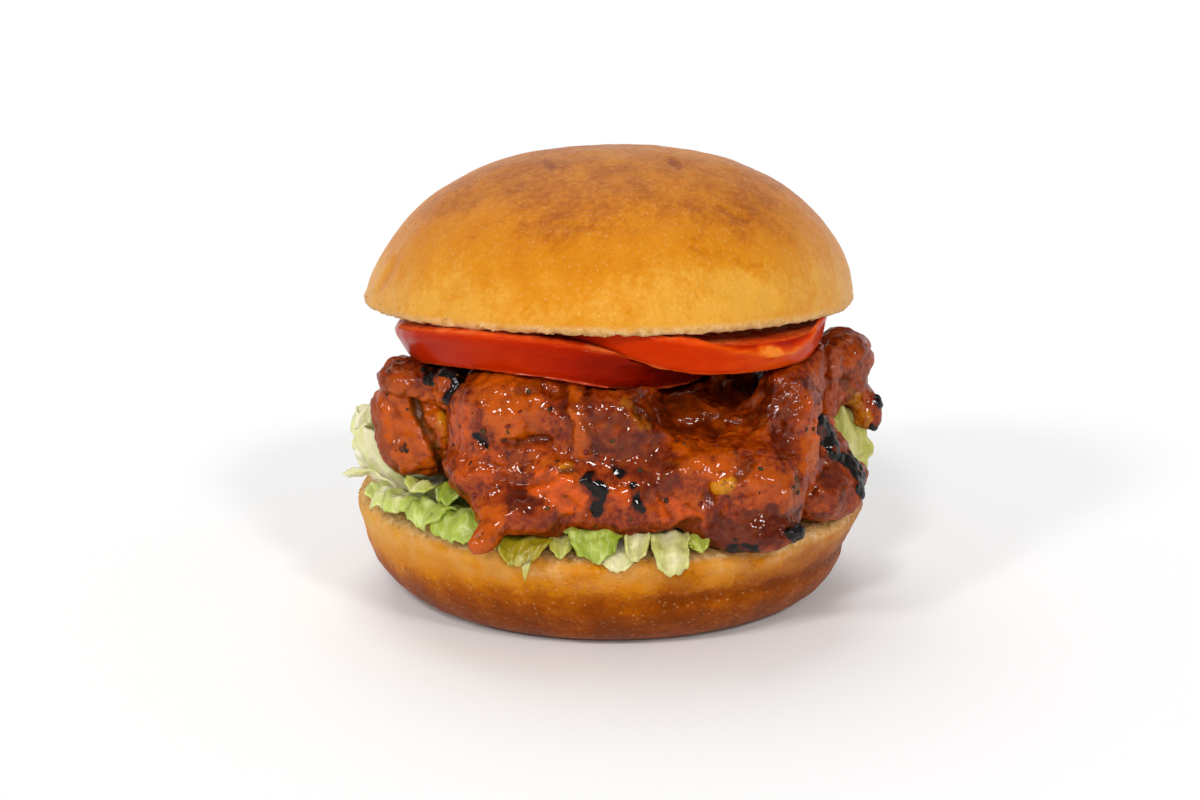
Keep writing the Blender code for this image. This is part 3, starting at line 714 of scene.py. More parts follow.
# for each layer: strength, push, reach, line
MARKS = {
    "chicken_main": {
        "char": [
            (1.0, -0.5, 6, [(478, 437), (484, 444)]), (1.0, 0.5, 7, [(588, 478), (600, 488), (598, 508)]),
            (0.8, 0.2, 4.5, [(611, 462), (622, 474)]), (0.75, 0.2, 5, [(634, 488), (640, 510)]),
            (0.8, 0.2, 6, [(730, 551), (752, 551)]), (1.0, 1.9, 8, [(790, 533), (800, 535)]),
        ],
        "amber": [
            (0.75, 0.3, 22, [(492, 392), (516, 402)]), (0.85, 0.3, 18, [(500, 416), (524, 424)]),
            (0.3, 1.1, 12, [(512, 468), (530, 460), (556, 466)]),
            (0.8, 0.9, 8, [(575, 388), (578, 420), (585, 450)]), (0.5, 0.9, 14, [(688, 400), (704, 404)]),
            (0.6, 0.2, 8, [(572, 482), (576, 504)]), (0.7, 0.9, 18, [(690, 462), (716, 462)]),
            (0.6, 0.7, 18, [(748, 482), (780, 488)]), (0.7, 0.4, 6, [(694, 500), (700, 508)]),
            (0.7, 0.6, 9, [(812, 440), (808, 462)]), (0.9, 0.4, 12, [(492, 518), (480, 548)]),
        ],
        "deep": [
            (0.8, -0.9, 5, [(506, 440), (528, 444), (546, 439)]),
            (0.5, -0.7, 5, [(500, 478), (530, 484), (548, 480)]),
            (0.6, -0.7, 4, [(564, 388), (566, 420), (572, 448)]),
            (0.6, -0.7, 4, [(588, 388), (590, 420), (596, 448)]),
            # painted shadow: this row and the next darken the hollow under the right tomato
            (0.9, -2.6, 26, [(660, 400), (700, 396), (760, 400), (782, 408)]),
            (0.9, -1.2, 12, [(668, 418), (700, 424), (716, 420)]),
            (0.9, -0.2, 9, [(510, 500), (530, 506)]),
            (0.65, 0.3, 24, [(600, 430), (640, 452), (656, 472)]),
            (0.7, -1.0, 6, [(704, 498), (712, 506)]), (0.7, -0.6, 7, [(750, 466), (740, 476)]),
            (1.4, -0.4, 18, [(690, 540), (740, 538), (786, 522)]),
            (0.7, -1.2, 8, [(778, 430), (786, 452)]), (0.8, -1.0, 6, [(822, 420), (826, 452)]),
            (0.5, -0.5, 6, [(520, 388), (560, 392)]), (0.16, 0.0, 12, [(540, 520), (600, 524)]),
        ],
        "gold": [
            (0.6, 0.0, 3, [(562, 470), (572, 464)]), (0.4, 0.1, 10, [(631, 406), (643, 422)]),
            (1.0, 1.2, 8, [(716, 488), (728, 482)]),
        ],
        "groove": [
            (0.7, -0.2, 3, [(560, 474), (574, 470)]), (0.6, -0.4, 5, [(796, 478), (794, 492)]),
        ],
        "red": [
            (1.1, 0.6, 14, [(542, 486), (572, 498)]), (0.55, 0.4, 8, [(616, 492), (624, 500)]),
            (0.6, 0.4, 14, [(670, 512), (692, 520)]), (0.5, 0.5, 18, [(790, 400), (806, 420)]),
            (0.5, -0.6, 12, [(458, 412), (462, 450)]), (0.5, 0.4, 14, [(470, 470), (500, 470)]),
        ],
    },
    "chicken_left": {
        "amber": [
            (0.75, 0.4, 26, [(392, 400), (400, 440), (420, 462)]),
            (1.0, 1.2, 16, [(438, 404), (454, 444)]),
        ],
        "groove": [
            (1.0, -1.9, 5, [(414, 404), (428, 432), (440, 462), (446, 474)]),
        ],
        "gold": [
            (0.7, 0.4, 7, [(443, 420), (446, 438)]),
        ],
        "deep": [
            (0.45, 0.5, 13, [(384, 374), (420, 368)]),
            (0.5, -0.5, 5, [(372, 400), (380, 440), (396, 470)]),
            (0.6, -0.3, 6, [(458, 420), (462, 450)]),
        ],
        "char": [
            (1.0, 0.9, 8, [(430, 374), (446, 368), (460, 382), (452, 396)]),
            (0.5, 0.0, 4, [(404, 446), (408, 450)]),
        ],
    },
    "chicken_flap": {
        "char": [
            (1.0, 0.5, 7, [(815, 415), (824, 436), (834, 452)]),
            (1.0, 0.5, 6, [(834, 452), (850, 464), (862, 482), (864, 496)]),
        ],
        "deep": [
            (0.7, 0.0, 12, [(826, 462), (836, 490)]), (0.3, 0.3, 14, [(838, 498), (850, 510)]),
            (0.5, -0.4, 5, [(800, 480), (820, 500)]),
        ],
    },
    "chicken_lobe": {
        "amber": [
            (0.45, 0.2, 12, [(846, 344), (856, 356)]),
            (0.35, 0.5, 8, [(804, 340), (818, 376), (828, 412)]),
        ],
        "pale": [
            (0.55, 0.3, 5, [(836, 352), (838, 390), (834, 430)]),
        ],
        "char": [
            (1.0, 0.6, 4, [(878, 398), (880, 403)]), (1.0, 0.6, 4, [(874, 428), (878, 432)]),
        ],
        "deep": [
            (0.4, 0.0, 6, [(850, 330), (866, 350), (868, 380)]),
        ],
        "groove": [
            (0.7, -0.5, 5, [(846, 380), (852, 392)]),
        ],
        "gold": [
            (0.5, 0.3, 10, [(856, 400), (864, 420)]),
        ],
    },
}

print("marks:", {node: sum(map(len, marks.values())) for node, marks in MARKS.items()})

# %% [markdown]
# The meat's material is a red and orange mottle with fine grain, over which the layers of the
# table are mixed: amber where fat and glaze are thin, deep maroon, which under the right
# tomato is painted shadow, a brown-green groove of herbs, pale fibre and black char. The
# glaze is sugar syrup: a clear, sharp coat that turns every small blister into a spark of light.

# %% Chicken material
MOTTLE = {0.24: "#3C0E01", 0.4: "#661C01", 0.54: "#8A3002", 0.68: "#A44404", 0.84: "#BE6408"}
# the deep maroon also serves as the painted shadow in the hollow under the right tomato
COATS = {"amber": "#B85002", "gold": "#C88410", "red": "#CE5208"}
COATS |= {"deep": "#400E01", "groove": "#3E280A", "pale": "#A25A40"}
# where burnt brown and then black char start, where they are full, how much they cover
BURNS = ((0.05, 0.5, 0.75, "#3A1004"), (0.38, 0.62, 1.0, "#070504"))


def chicken_material():
    made, add, place, *stored = new_material("glazed grilled chicken", *LAYERS)
    layer = dict(zip(LAYERS, stored))
    broad = add("TexNoise", grain(place, 6.5, 6, 0.62))
    fine = add("TexNoise", grain(place, 1.4, 5, 0.68))
    mottle = add("Math", {0: fine, 1: 0.8, 2: -0.4}, operation="MULTIPLY_ADD")
    mottle = add("Math", {0: broad, 1: mottle}, operation="ADD")
    tone = add("ValToRGB", {0: mottle}, MOTTLE)
    ragged = add("Math", {0: fine, 1: 1.1, 2: -0.55}, operation="MULTIPLY_ADD")
    for name, code in COATS.items():
        edge = add("Math", {0: layer[name], 1: ragged}, operation="ADD")
        amount = add("MapRange", {0: edge, 1: 0.05, 2: 1.0, 3: 0.0, 4: 0.78})
        tone = add("Mix", {0: amount, 6: tone, 7: colour(code)}, data_type="RGBA")
    burnt = add("Math", {0: fine, 1: 1.9, 2: -1.0}, operation="MULTIPLY_ADD")
    burnt = add("Math", {0: layer["char"], 1: burnt}, operation="ADD")
    for start, full, most, code in BURNS:
        amount = add("MapRange", {0: burnt, 1: start, 2: full, 3: 0.0, 4: most})
        tone = add("Mix", {0: amount, 6: tone, 7: colour(code)}, data_type="RGBA")
    wet = add("MapRange", {0: fine, 1: 0.35, 2: 0.65, 3: 0.22, 4: 0.42})
    # small blisters in the glaze, flat where fat or a cut face is bare
    cells = {"Vector": place, "Scale": per(1.2), "Randomness": 1.0}
    blisters = add("TexVoronoi", cells, feature="SMOOTH_F1")
    fine_grain = add("TexNoise", grain(place, 0.9, 2, 0.5))
    height = add("Math", {0: blisters, 1: -0.5, 2: fine_grain}, operation="MULTIPLY_ADD")
    patches = add("MapRange", {0: broad, 1: 0.38, 2: 0.56, 3: 0.5, 4: 1.0})
    calm = add("Math", {0: layer["amber"], 1: -0.35, 2: patches}, operation="MULTIPLY_ADD")
    calm = add("Math", {0: calm, 1: 0.2}, operation="MAXIMUM")
    calm = add("Math", {0: layer["char"], 1: 0.8, 2: calm}, operation="MULTIPLY_ADD")
    bumps = add("Bump", {"Strength": calm, "Distance": 0.42 * MM, "Height": height})
    syrup = {"Coat Weight": 0.26, "Coat Roughness": 0.07, "Coat IOR": 1.8, "IOR": 1.4}
    syrup |= {"Specular IOR Level": 0.03, "Specular Tint": colour("#FF9868")}
    depth = {"Subsurface Weight": 0.12, "Subsurface Scale": 1.5 * MM}
    depth["Subsurface Radius"] = (1.0, 0.3, 0.1)
    surface = {"Base Color": tone, "Roughness": wet, "Metallic": 0.0, "Normal": bumps}
    return surfaced(made, add, {**surface, **depth, **syrup})


glazed = chicken_material()

# %% Chicken pieces
BROAD_VOXEL = 0.62
FINE_VOXEL = 0.42
# what may colour a spot that the picture doesn't show, and how far the spot stands out
HIDDEN_KINDS = (("char", 0.2), ("deep", -0.5), ("amber", 0.5), ("red", 0.4), ("deep", 0.3))


def merged_copy(node):
    """A node's mesh is loose triangles, so a copy of it is merged before it is shaped."""
    bm = bmesh.new()
    bm.from_mesh(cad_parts[node].data)
    bmesh.ops.remove_doubles(bm, verts=bm.verts, dist=0.004 * MM)
    return bm


def wandering(points, seed):
    """Steps in the picture, in pixels, that make the outline of a mark come out uneven."""
    broad = np.stack([field(points, 4.0, seed + step) for step in (0, 1)], axis=1)
    fine = np.stack([field(points, 1.4, seed + step) for step in (2, 3)], axis=1)
    return 12.0 * broad + 7.0 * fine


def meat(name, node, voxel, seed, spots):
    """One piece of meat: rebuilt with faces of a voxel's size, marked in front, spotted behind."""
    bm = through(
        merged_copy(node),
        ("REMESH", {"mode": "VOXEL", "voxel_size": voxel * MM}),
        ("SMOOTH", {"factor": 0.5, "iterations": 5}),
    )
    points, normals = points_of(bm), normals_of(bm)
    knobs = 0.7 * field(points, 6.5, seed) + 0.35 * np.abs(field(points, 3.2, seed + 1))
    blisters = 0.42 * np.abs(field(points, 1.9, seed + 2))
    strands = 0.14 * field(points, 2.6, seed + 3, (1.0, 1.0, 0.4))
    seams = bump_at(field(points, 10.0, seed + 6), 0.0, 0.11)
    seams *= ramp_up(field(points, 12.0, seed + 7), -0.15, 0.3)
    push = knobs + blisters + strands - 0.55 * seams - 0.2
    paint = {layer: np.zeros(len(points)) for layer in LAYERS}
    paint["deep"] = 0.4 * seams
    uneven = 0.5 + np.clip(0.55 + 1.3 * field(points, 2.2, seed + 4), 0, 0.8)
    wobble = 0.35 * field(points, 2.4, seed + 5)
    pixels = seen_at(points)[0]
    wander = wandering(points, seed + 8)
    front = facing(points, normals)
    marks = [(layer, *mark) for layer, rows in MARKS[node].items() for mark in rows]
    for layer, strength, mark_push, reach, line in marks:
        away = along(pixels + wander * min(1.0, reach / 16), line)
        soft = np.clip(1 - (away / (1.2 * reach)) ** 2, 0, 1)
        colouring = strength * uneven * front * np.minimum(1.0, 1.7 * soft)
        paint[layer] = np.maximum(paint[layer], colouring)
        push += mark_push * front * soft
    draw = random.Random(seed)
    for _ in range(spots):
        layer, spot_push = draw.choice(HIDDEN_KINDS)
        centre, reach = points[draw.randrange(len(points))], draw.uniform(1.5, 5.5)
        away = np.linalg.norm((points - centre) * (1.0, 1.0, draw.uniform(0.6, 1.8)), axis=1)
        soft = np.clip(1 - (away / reach * (1 + wobble)) ** 2, 0, 1) * (1 - front)
        paint[layer] = np.maximum(paint[layer], 0.9 * uneven * soft)
        push += spot_push * soft
    push_out(bm, push)
    for layer in LAYERS:
        store(bm, layer, paint[layer])
    return finish_piece(name, bm, glazed, "chicken", node)


body = meat("chicken_body", "chicken_main", BROAD_VOXEL, 81, 70)
cut_end = meat("chicken_cut_end", "chicken_left", FINE_VOXEL, 91, 16)
meat("chicken_lobe_right", "chicken_lobe", FINE_VOXEL, 101, 12)
meat("chicken_flap_right", "chicken_flap", FINE_VOXEL, 111, 12)

# %% [markdown]
# ## The lettuce
# Shredded iceberg: thin crisp leaves, nearly white at the rib, green at the edge, and so
# thin that light glows through them. A shred is a small sheet that bends from its root to
# its tip, ruffles across and has a ragged edge. A packed bed of them lies under the meat.

# %% Lettuce material
LEAF_GREENS = {0.0: "#EAE4C6", 0.25: "#CCCE94", 0.5: "#A6B450", 0.75: "#8A9A28", 1.0: "#6A8212"}


def lettuce_material():
    made, add, place, green, warm = new_material("iceberg lettuce leaf", "green", "warm")
    sheet = add("UVMap", uv_map="leaf")
    clouds = add("TexNoise", grain(place, 6, 4, 0.6))
    # veins run along the leaf: thin lines where a long-drawn noise passes its middle
    drawn = add("Mapping", {"Vector": sheet, "Scale": (0.28, 1.0, 1.0)})
    lines = add("TexNoise", grain(drawn, 3.4, 2))
    off = add("Math", {0: lines, 1: 0.5}, operation="SUBTRACT")
    off = add("Math", {0: off}, operation="ABSOLUTE")
    vein = add("MapRange", {0: off, 1: 0.0, 2: 0.035, 3: 1.0, 4: 0.0})
    mixed = add("Math", {0: clouds, 1: 0.5, 2: -0.25}, operation="MULTIPLY_ADD")
    mixed = add("Math", {0: mixed, 1: green}, operation="ADD")
    leaf = add("ValToRGB", {0: mixed}, LEAF_GREENS)
    olive = add("Mix", {0: warm, 6: leaf, 7: colour("#9A8210")}, data_type="RGBA")
    pale = add("Math", {0: vein, 1: 0.3}, operation="MULTIPLY")
    base = add("Mix", {0: pale, 6: olive, 7: colour("#DCDCA4")}, data_type="RGBA")
    pucker = add("TexNoise", grain(place, 1.8, 4))
    height = add("Math", {0: vein, 1: 0.6, 2: pucker}, operation="MULTIPLY_ADD")
    bumps = add("Bump", {"Strength": 0.3, "Distance": 0.5 * MM, "Height": height})
    depth = {"Subsurface Weight": 0.6, "Subsurface Scale": 2.2 * MM}
    depth["Subsurface Radius"] = (0.8, 1.0, 0.35)
    crisp = {"Roughness": 0.34, "IOR": 1.4, "Coat Weight": 0.15, "Coat Roughness": 0.2}
    surface = {"Base Color": base, "Metallic": 0.0, "Normal": bumps}
    return surfaced(made, add, {**surface, **depth, **crisp})


leaf_surface = lettuce_material()

# %% Leaves that show
LEAF_THICKNESS = 0.55
BED_LOW = HEEL_FACE - 0.6
BED_HIGH = 26.8
BED_RADIUS = 52.0

# Where a leaf starts, what it bends towards, where its tip is, how wide it is, which way its
# width lies in degrees, how wide its root and tip are as shares of that, how deep it ruffles,
# how green it is and how warm.
SHOWN_LEAVES = [
    ((-46, -14, 25.5), (-58.6, -13, 28), (-56.2, -11, 44.2), 11.5, -35, 0.7, 0.8, 1.2, 0.06, 0.0),
    ((-47, -16, 25.5), (-57.0, -16, 33.0), (-61.0, -12, 28.6), 9, -62, 1.0, 0.7, 0.8, 0.12, 0.1),
    ((-39, -30, 25.5), (-46, -37, 34.5), (-46.9, -41, 27.8), 15, -46, 1.0, 0.8, 0.9, 0.40, 0.0),
    ((-27, -40, 25.5), (-31.5, -49, 34.5), (-33.6, -53.8, 25.2), 17, -32, 1.0, 0.8, 0.9, 0.58, 0.0),
    ((-30, -36, 27), (-34, -43, 39.0), (-35.5, -46.8, 31.4), 11, -38, 1.0, 0.8, 0.8, 0.72, 0.0),
    ((-24, -44, 28), (-27, -50, 36.0), (-28.6, -53, 30.8), 4.5, -25, 1.0, 0.8, 0.3, 0.70, 0.0),
    ((-17, -47, 25.0), (-18.5, -59, 28.6), (-19.6, -61.6, 22.4), 14, -10, 1.0, 0.6, 0.7, 0.72, 0.85),
    ((-17, -50, 25.0), (-17.6, -61.5, 27.0), (-18, -62.2, 19.8), 3.0, 0, 1.6, 0.5, 0.1, 0.4, 0.6),
    ((-4, -46, 25.3), (-4, -58.5, 32.0), (-3.5, -61, 23.4), 14, 0, 1.0, 0.7, 0.9, 0.62, 0.0),
    ((5, -46, 25.3), (5.5, -58, 31.0), (4.6, -61.2, 23.2), 6.5, 10, 1.0, 0.7, 0.5, 0.2, 0.4),
    ((1, -49, 24.8), (1, -60.4, 25.6), (1, -62.0, 21.2), 9, 0, 1.0, 0.8, 0.3, 0.15, 0.3),
    ((11.5, -46, 25.3), (11.5, -59, 30.5), (12.4, -62.2, 20.6), 10, 8, 0.9, 0.8, 0.7, 0.25, 0.35),
    ((17, -45, 25.3), (17.5, -56, 28.5), (18.4, -59, 24.6), 6, 12, 1.0, 0.7, 0.4, 0.6, 0.2),
    ((46, -12, 25.5), (59.0, -15, 27.5), (52.6, -11, 44.6), 12.5, 30, 0.9, 0.8, 0.8, 0.35, 0.45),
    ((47, 2, 25.5), (58.5, 3, 29), (58.0, 4, 37.5), 13, 80, 0.9, 0.8, 1.1, 0.1, 0.1),
]

# Smaller shreds between those, on the left where the heap swells out over the rim.
BETWEEN_LEAVES = [
    ((-45, -20, 25.5), (-54, -21, 33), (-55.0, -18.5, 42), 15, -52, 0.9, 0.8, 0.8, 0.12, 0.1),
    ((-46, -8, 25.5), (-56.5, -7, 33), (-57.4, -6, 43.5), 15, -80, 0.9, 0.8, 0.9, 0.08, 0.1),
    ((-43, -24, 25.5), (-50, -31.5, 33.5), (-51.6, -34.5, 27.6), 15, -52, 1.0, 0.8, 0.8, 0.30, 0.05),
    ((-34, -34, 25.5), (-39.5, -43, 35.0), (-41.0, -48.0, 27.0), 16, -40, 1.0, 0.8, 0.8, 0.50, 0.0),
    ((-36, -31, 26.5), (-41, -39, 38.0), (-42.5, -43.5, 33.0), 9, -42, 1.0, 0.8, 0.6, 0.35, 0.2),
    ((-22, -42, 25.2), (-25, -54, 30.0), (-26.0, -57.5, 24.6), 8, -22, 1.0, 0.7, 0.5, 0.55, 0.4),
    ((-10, -47, 25.0), (-10.5, -57, 28.5), (-10.8, -60.5, 24.0), 7, -5, 1.0, 0.7, 0.5, 0.45, 0.5),
]


# %% [markdown]
# Behind, and all round the edge of the bed, nothing ties a leaf to a place, so a rule lays
# them: each at its own turn round the burger, with its size and colour drawn from a range.

# %% Leaves laid by rule
HIDDEN_LEAVES = 10
HIDDEN_FROM, HIDDEN_SPAN = 26, 136
RIM_SHREDS = 46
# behind, the meat ends sooner, and a shred between these turns starts on top of the bed
BEHIND = (0.3, 2.85)
RAISED = 3.0


def out_from_middle(turn, reach, height):
    return (reach * math.cos(turn), reach * math.sin(turn), height)


def drawn(draw, *ranges):
    return [draw.uniform(low, high) for low, high in ranges]


def hidden_side_leaves():
    """Leaves round the back, by the rule of their solid."""
    draw = random.Random(21)
    tint = random.Random(22)
    for step in range(HIDDEN_LEAVES):
        turn = HIDDEN_FROM + step * (HIDDEN_SPAN / (HIDDEN_LEAVES - 1)) + draw.uniform(-3, 3)
        way = math.radians(turn)
        reach, tip_reach = drawn(draw, (56.5, 58.5), (58.0, 61.0))
        bend, tip = drawn(draw, (29.0, 33.5), (23.5, 33.0))
        width, swing = drawn(draw, (11, 17), (-12, 12))
        tip_share, ruffle = drawn(draw, (0.6, 0.9), (0.7, 1.3))
        root = out_from_middle(way, 47, 25.5)
        over = out_from_middle(way, reach, bend)
        end = out_from_middle(way, tip_reach, tip)
        colours = drawn(tint, (0.1, 0.8), (0.0, 0.4))
        yield (root, over, end, width, turn + 90 + swing, 1.0, tip_share, ruffle, *colours)


def rim_shreds():
    """Short shreds that fill the bed's edge all the way round."""
    draw = random.Random(33)
    for step in range(RIM_SHREDS):
        turn = math.radians(step * 360 / RIM_SHREDS + draw.uniform(-4, 4))
        inner, middle, outer, base = drawn(draw, (40, 44), (48, 51), (50.5, 54.5), (24.2, 26.0))
        bend, tip, width, swing = drawn(draw, (1.5, 4.5), (-0.6, 1.8), (3.5, 8.0), (-35, 35))
        shares = drawn(draw, (0.8, 1.1), (0.5, 0.9), (0.4, 0.9), (0.05, 0.75), (0.0, 0.5))
        raised = RAISED if BEHIND[0] < turn < BEHIND[1] else 0.0
        root = out_from_middle(turn, inner, base + raised)
        over = out_from_middle(turn, middle, base + bend)
        end = out_from_middle(turn, outer, base + tip)
        yield (root, over, end, width, math.degrees(turn) + 90 + swing, *shares)


# %% [markdown]
# Each leaf is a flat grid, laid along a curve from its root over its bend to its tip. Noise
# tears its outline, a wave and a finer frill lift it, and it pales towards its rib.

# %% One leaf, and the heap
def add_leaf(heap, number, root, bend, tip, width, heading, root_share, tip_share, ruffle, green, warm):
    """One ruffled, ragged shred, bent out of a flat grid and added to the heap."""
    root, bend, tip = Vector(root), Vector(bend), Vector(tip)
    across = Vector((math.cos(math.radians(heading)), math.sin(math.radians(heading)), 0.0))
    length = (bend - root).length + (tip - bend).length
    sheet = bmesh.new()
    rows, columns = max(8, round(length / 0.9)), max(4, round(width / 0.8))
    bmesh.ops.create_grid(sheet, x_segments=rows, y_segments=columns, size=0.5)
    uv = sheet.loops.layers.uv.new("leaf")
    for face in sheet.faces:
        for loop in face.loops:
            flat = loop.vert.co
            loop[uv].uv = (flat.x * length * MM + number * 0.05, flat.y * width * MM)
    green_layer = sheet.verts.layers.float.new("green")
    warm_layer = sheet.verts.layers.float.new("warm")
    for vert in sheet.verts:
        u, v = vert.co.x + 0.5, vert.co.y
        ragged = 0.08 * noise.noise((v * 5.0, number * 3.1, 0.0))
        ragged += 0.03 * noise.noise((v * 14.0, number * 5.3, 1.0))
        u = u * (1.0 + ragged * u**3)
        side = 1.0 + 0.16 * noise.noise((u * 4.0, number * 2.3, math.copysign(2.0, v)))
        side += 0.07 * noise.noise((u * 12.0, number * 4.7, math.copysign(3.0, v)))
        line = root * (1 - u) ** 2 + bend * 2 * u * (1 - u) + tip * u * u
        ahead = (bend - root) * (1 - u) + (tip - bend) * u
        face = ahead.cross(across).normalized()
        wide = width * (root_share + (tip_share - root_share) * u) * (1 - 0.25 * u**6) * side
        wave = ruffle * math.sin(2 * math.pi * (v * 1.8 + number * 0.37)) * (0.2 + 0.8 * u)
        frill = 1.3 * ruffle * noise.noise((u * length / 4.0, v * width / 3.0, number * 7.7)) * min(1, 2 * u)
        frill += 0.35 * noise.noise((u * length / 1.6, v * width / 1.6, number * 3.3))
        frill += 0.6 * ruffle * (2 * v) ** 2 * noise.noise((u * length / 4.0, number * 9.1, v * 2.0))
        shorter = ahead.normalized() * 1.6 * (2 * v) ** 2 * u**3
        vert.co = (line + across * v * wide + face * (wave + frill) - shorter) * MM
        rib = math.exp(-((v * width / 1.6) ** 2)) * (1 - u)
        vert[green_layer] = green + 0.15 * (abs(v) * 2) * u - 0.35 * rib
        vert[warm_layer] = warm
    held = bpy.data.meshes.new("sheet")
    sheet.to_mesh(held)
    sheet.free()
    heap.from_mesh(held)
    bpy.data.meshes.remove(held)


def lettuce_heap():
    heap = bmesh.new()
    leaves = [*SHOWN_LEAVES, *BETWEEN_LEAVES, *hidden_side_leaves(), *rim_shreds()]
    for number, leaf in enumerate(leaves):
        add_leaf(heap, number, *leaf)
    heap = through(heap, ("SOLIDIFY", {"thickness": LEAF_THICKNESS * MM, "offset": 0.0}))
    return finish_piece("shredded_lettuce", heap, leaf_surface, "lettuce", "lettuce")


lettuce_heap()

# %% [markdown]
# The bed follows its solid, with the shreds pressed into layers at its edge.

# %% Lettuce bed
def lettuce_bed():
    """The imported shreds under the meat, as one uneven disc."""
    middle = (HEEL_RIM + BED_HIGH) / 2
    profile = [(0, BED_LOW), (30, BED_LOW), (BED_RADIUS - 2, BED_LOW), (BED_RADIUS, middle)]
    profile += [(BED_RADIUS - 2, BED_HIGH - 0.6), (30, BED_HIGH), (0, BED_HIGH)]
    bm = turned(softened(profile, 1.2), 260)
    points = points_of(bm)
    x, y, z = points.T
    radius = np.maximum(np.hypot(x, y), 1.0)
    level = np.stack((x, y, z * 0), axis=1)
    push = 2.4 * field(level, 11.0, 9) * (radius / BED_RADIUS) ** 2
    x, y = x * (1 + push / radius), y * (1 + push / radius)
    level = np.stack((x, y, z * 0 + 5), axis=1)
    rise = np.where(z > middle, 0.8 * field(level, 9.0, 10), 0.0)
    move_to(bm, np.stack((x, y, z + rise), axis=1))
    points = points_of(bm)
    layered = 0.9 * np.abs(field(points, 3.0, 121, (1.0, 1.0, 3.0))) + 0.5 * field(points, 1.6, 122)
    push_out(bm, layered * ramp_up(radius, 30.0, 44.0))
    store(bm, "green", 0.5 + 0.9 * field(points, 4.0, 123))
    store(bm, "warm", 0.3 + 0.5 * field(points, 7.0, 124))
    bm = without(bm, heel_body(ROOM_SPACING, 80, GAP))
    return finish_piece("lettuce_bed", bm, leaf_surface, "lettuce", "lettuce")


lettuce_bed()

# %% [markdown]
# ## Herbs, crumbs and juice
# Dried herbs, pepper and chilli of the marinade stick in the glaze. Crumbs hang on the cut
# edges of the bun. Each bit is a small ball of twenty faces, flattened and pressed onto a
# face of its piece. A thread of juice has gathered along the lower edge of the left tomato.

# %% Herb and juice materials
DRY_HERBS = {0.15: "#120A05", 0.5: "#2A1C06", 0.8: "#3E3A0C", 1.0: "#6A1202"}
JUICE = {0.3: "#8E1C02", 0.7: "#B83A10"}


def herb_material():
    made, add, place, kind = new_material("dried herbs and pepper", "kind")
    fine_grain = add("TexNoise", grain(place, 0.4, 3))
    shade = add("Math", {0: fine_grain, 1: 0.3, 2: kind}, operation="MULTIPLY_ADD")
    base = add("ValToRGB", {0: shade}, DRY_HERBS)
    dry = {"Base Color": base, "Roughness": 0.45, "IOR": 1.35, "Coat Weight": 0.1}
    return surfaced(made, add, dry)


def juice_material():
    made, add, place = new_material("tomato juice")
    clouds = add("TexNoise", grain(place, 2.0, 3))
    base = add("ValToRGB", {0: clouds}, JUICE)
    wet = {"Base Color": base, "Roughness": 0.06, "IOR": 1.34, "Coat Weight": 0.6}
    return surfaced(made, add, wet)


# %% Bits pressed onto a piece
BIT_BAKED = 0.3
# a bit goes to the face nearest to its spot in the picture, and of those to the one nearest
# to the camera, so each millimetre further off and each face turned away counts as pixels
FURTHER_OFF = 0.2
TURNED_AWAY = 99.0


def stuck_bits(name, host, count, seed, sizes, surface, slot, node, wanted=None, shown=()):
    """Bits on faces of their host, where wanted(place) says so, and at the pixels shown."""
    draw = random.Random(seed)
    bits = bmesh.new()
    kinds = {layer: bits.verts.layers.float.new(layer) for layer in ("kind", "baked_and_painted_light", "cut")}
    faces = host.data.polygons
    order = range(len(faces))
    if wanted:
        # a spun piece stores its faces in another order each run, so they are sorted by place
        order = sorted(order, key=lambda index: tuple(faces[index].center))
    chosen = []
    if shown:
        centres = np.array([face.center for face in faces]) / MM
        front = facing(centres, np.array([face.normal for face in faces]))
        pixels, off = seen_at(centres)
        for spot in shown:
            away = np.linalg.norm(pixels - spot, axis=1) + FURTHER_OFF * (off - off.min())
            away += TURNED_AWAY * (front < 0.5)
            chosen.append((int(away.argmin()), sizes[1]))
    while len(chosen) < count:
        index = order[draw.randrange(len(faces))]
        if wanted is None or wanted(faces[index].center / MM):
            chosen.append((index, draw.uniform(*sizes)))
    for index, size in chosen:
        face, size = faces[index], size * MM
        turn = face.normal.to_track_quat("Z", "Y") @ Euler((0, 0, draw.uniform(0, 6.3))).to_quaternion()
        shape = Vector((size, size * draw.uniform(0.35, 0.9), size * draw.uniform(0.25, 0.5)))
        place = Matrix.LocRotScale(face.center + face.normal * shape.z * 0.5, turn, shape)
        made = bmesh.ops.create_icosphere(bits, subdivisions=1, radius=1.0, matrix=place)
        kind = draw.random()
        for vert in made["verts"]:
            vert[kinds["kind"]] = kind
            vert[kinds["baked_and_painted_light"]] = BIT_BAKED
            vert[kinds["cut"]] = 1.0
    return finish_piece(name, bits, surface, slot, node)


SHOWN_FLECKS = [(508, 425), (505, 441), (507, 432), (585, 452), (600, 386), (793, 486), (797, 492)]
SHOWN_FLECKS += [(520, 412), (484, 430), (612, 440), (556, 462), (640, 470), (716, 446), (735, 452)]
SHOWN_FLECKS += [(700, 505), (630, 520), (548, 508), (470, 462), (760, 470), (668, 500)]


def on_crown_edge(place):
    return place.z < CROWN_EDGE + 0.8 and math.hypot(place.x, place.y) > 52


def on_heel_rim(place):
    return place.z > HEEL_FACE - 0.2 and math.hypot(place.x, place.y) > 53


herbs = herb_material()
main_herbs = (herbs, "chicken", "chicken_main", None, SHOWN_FLECKS)
stuck_bits("herb_flecks", body, 240, 131, (0.22, 0.7), *main_herbs)
stuck_bits("herb_flecks_left", cut_end, 36, 132, (0.2, 0.5), herbs, "chicken", "chicken_left")
crumb = (plain_crust, "bread")
stuck_bits("crown_crumbs", crown, 260, 133, (0.2, 0.55), *crumb, "bun_top", on_crown_edge)
stuck_bits("heel_crumbs", heel, 190, 134, (0.2, 0.6), *crumb, "bun_bottom", on_heel_rim)

# %% Thread of juice

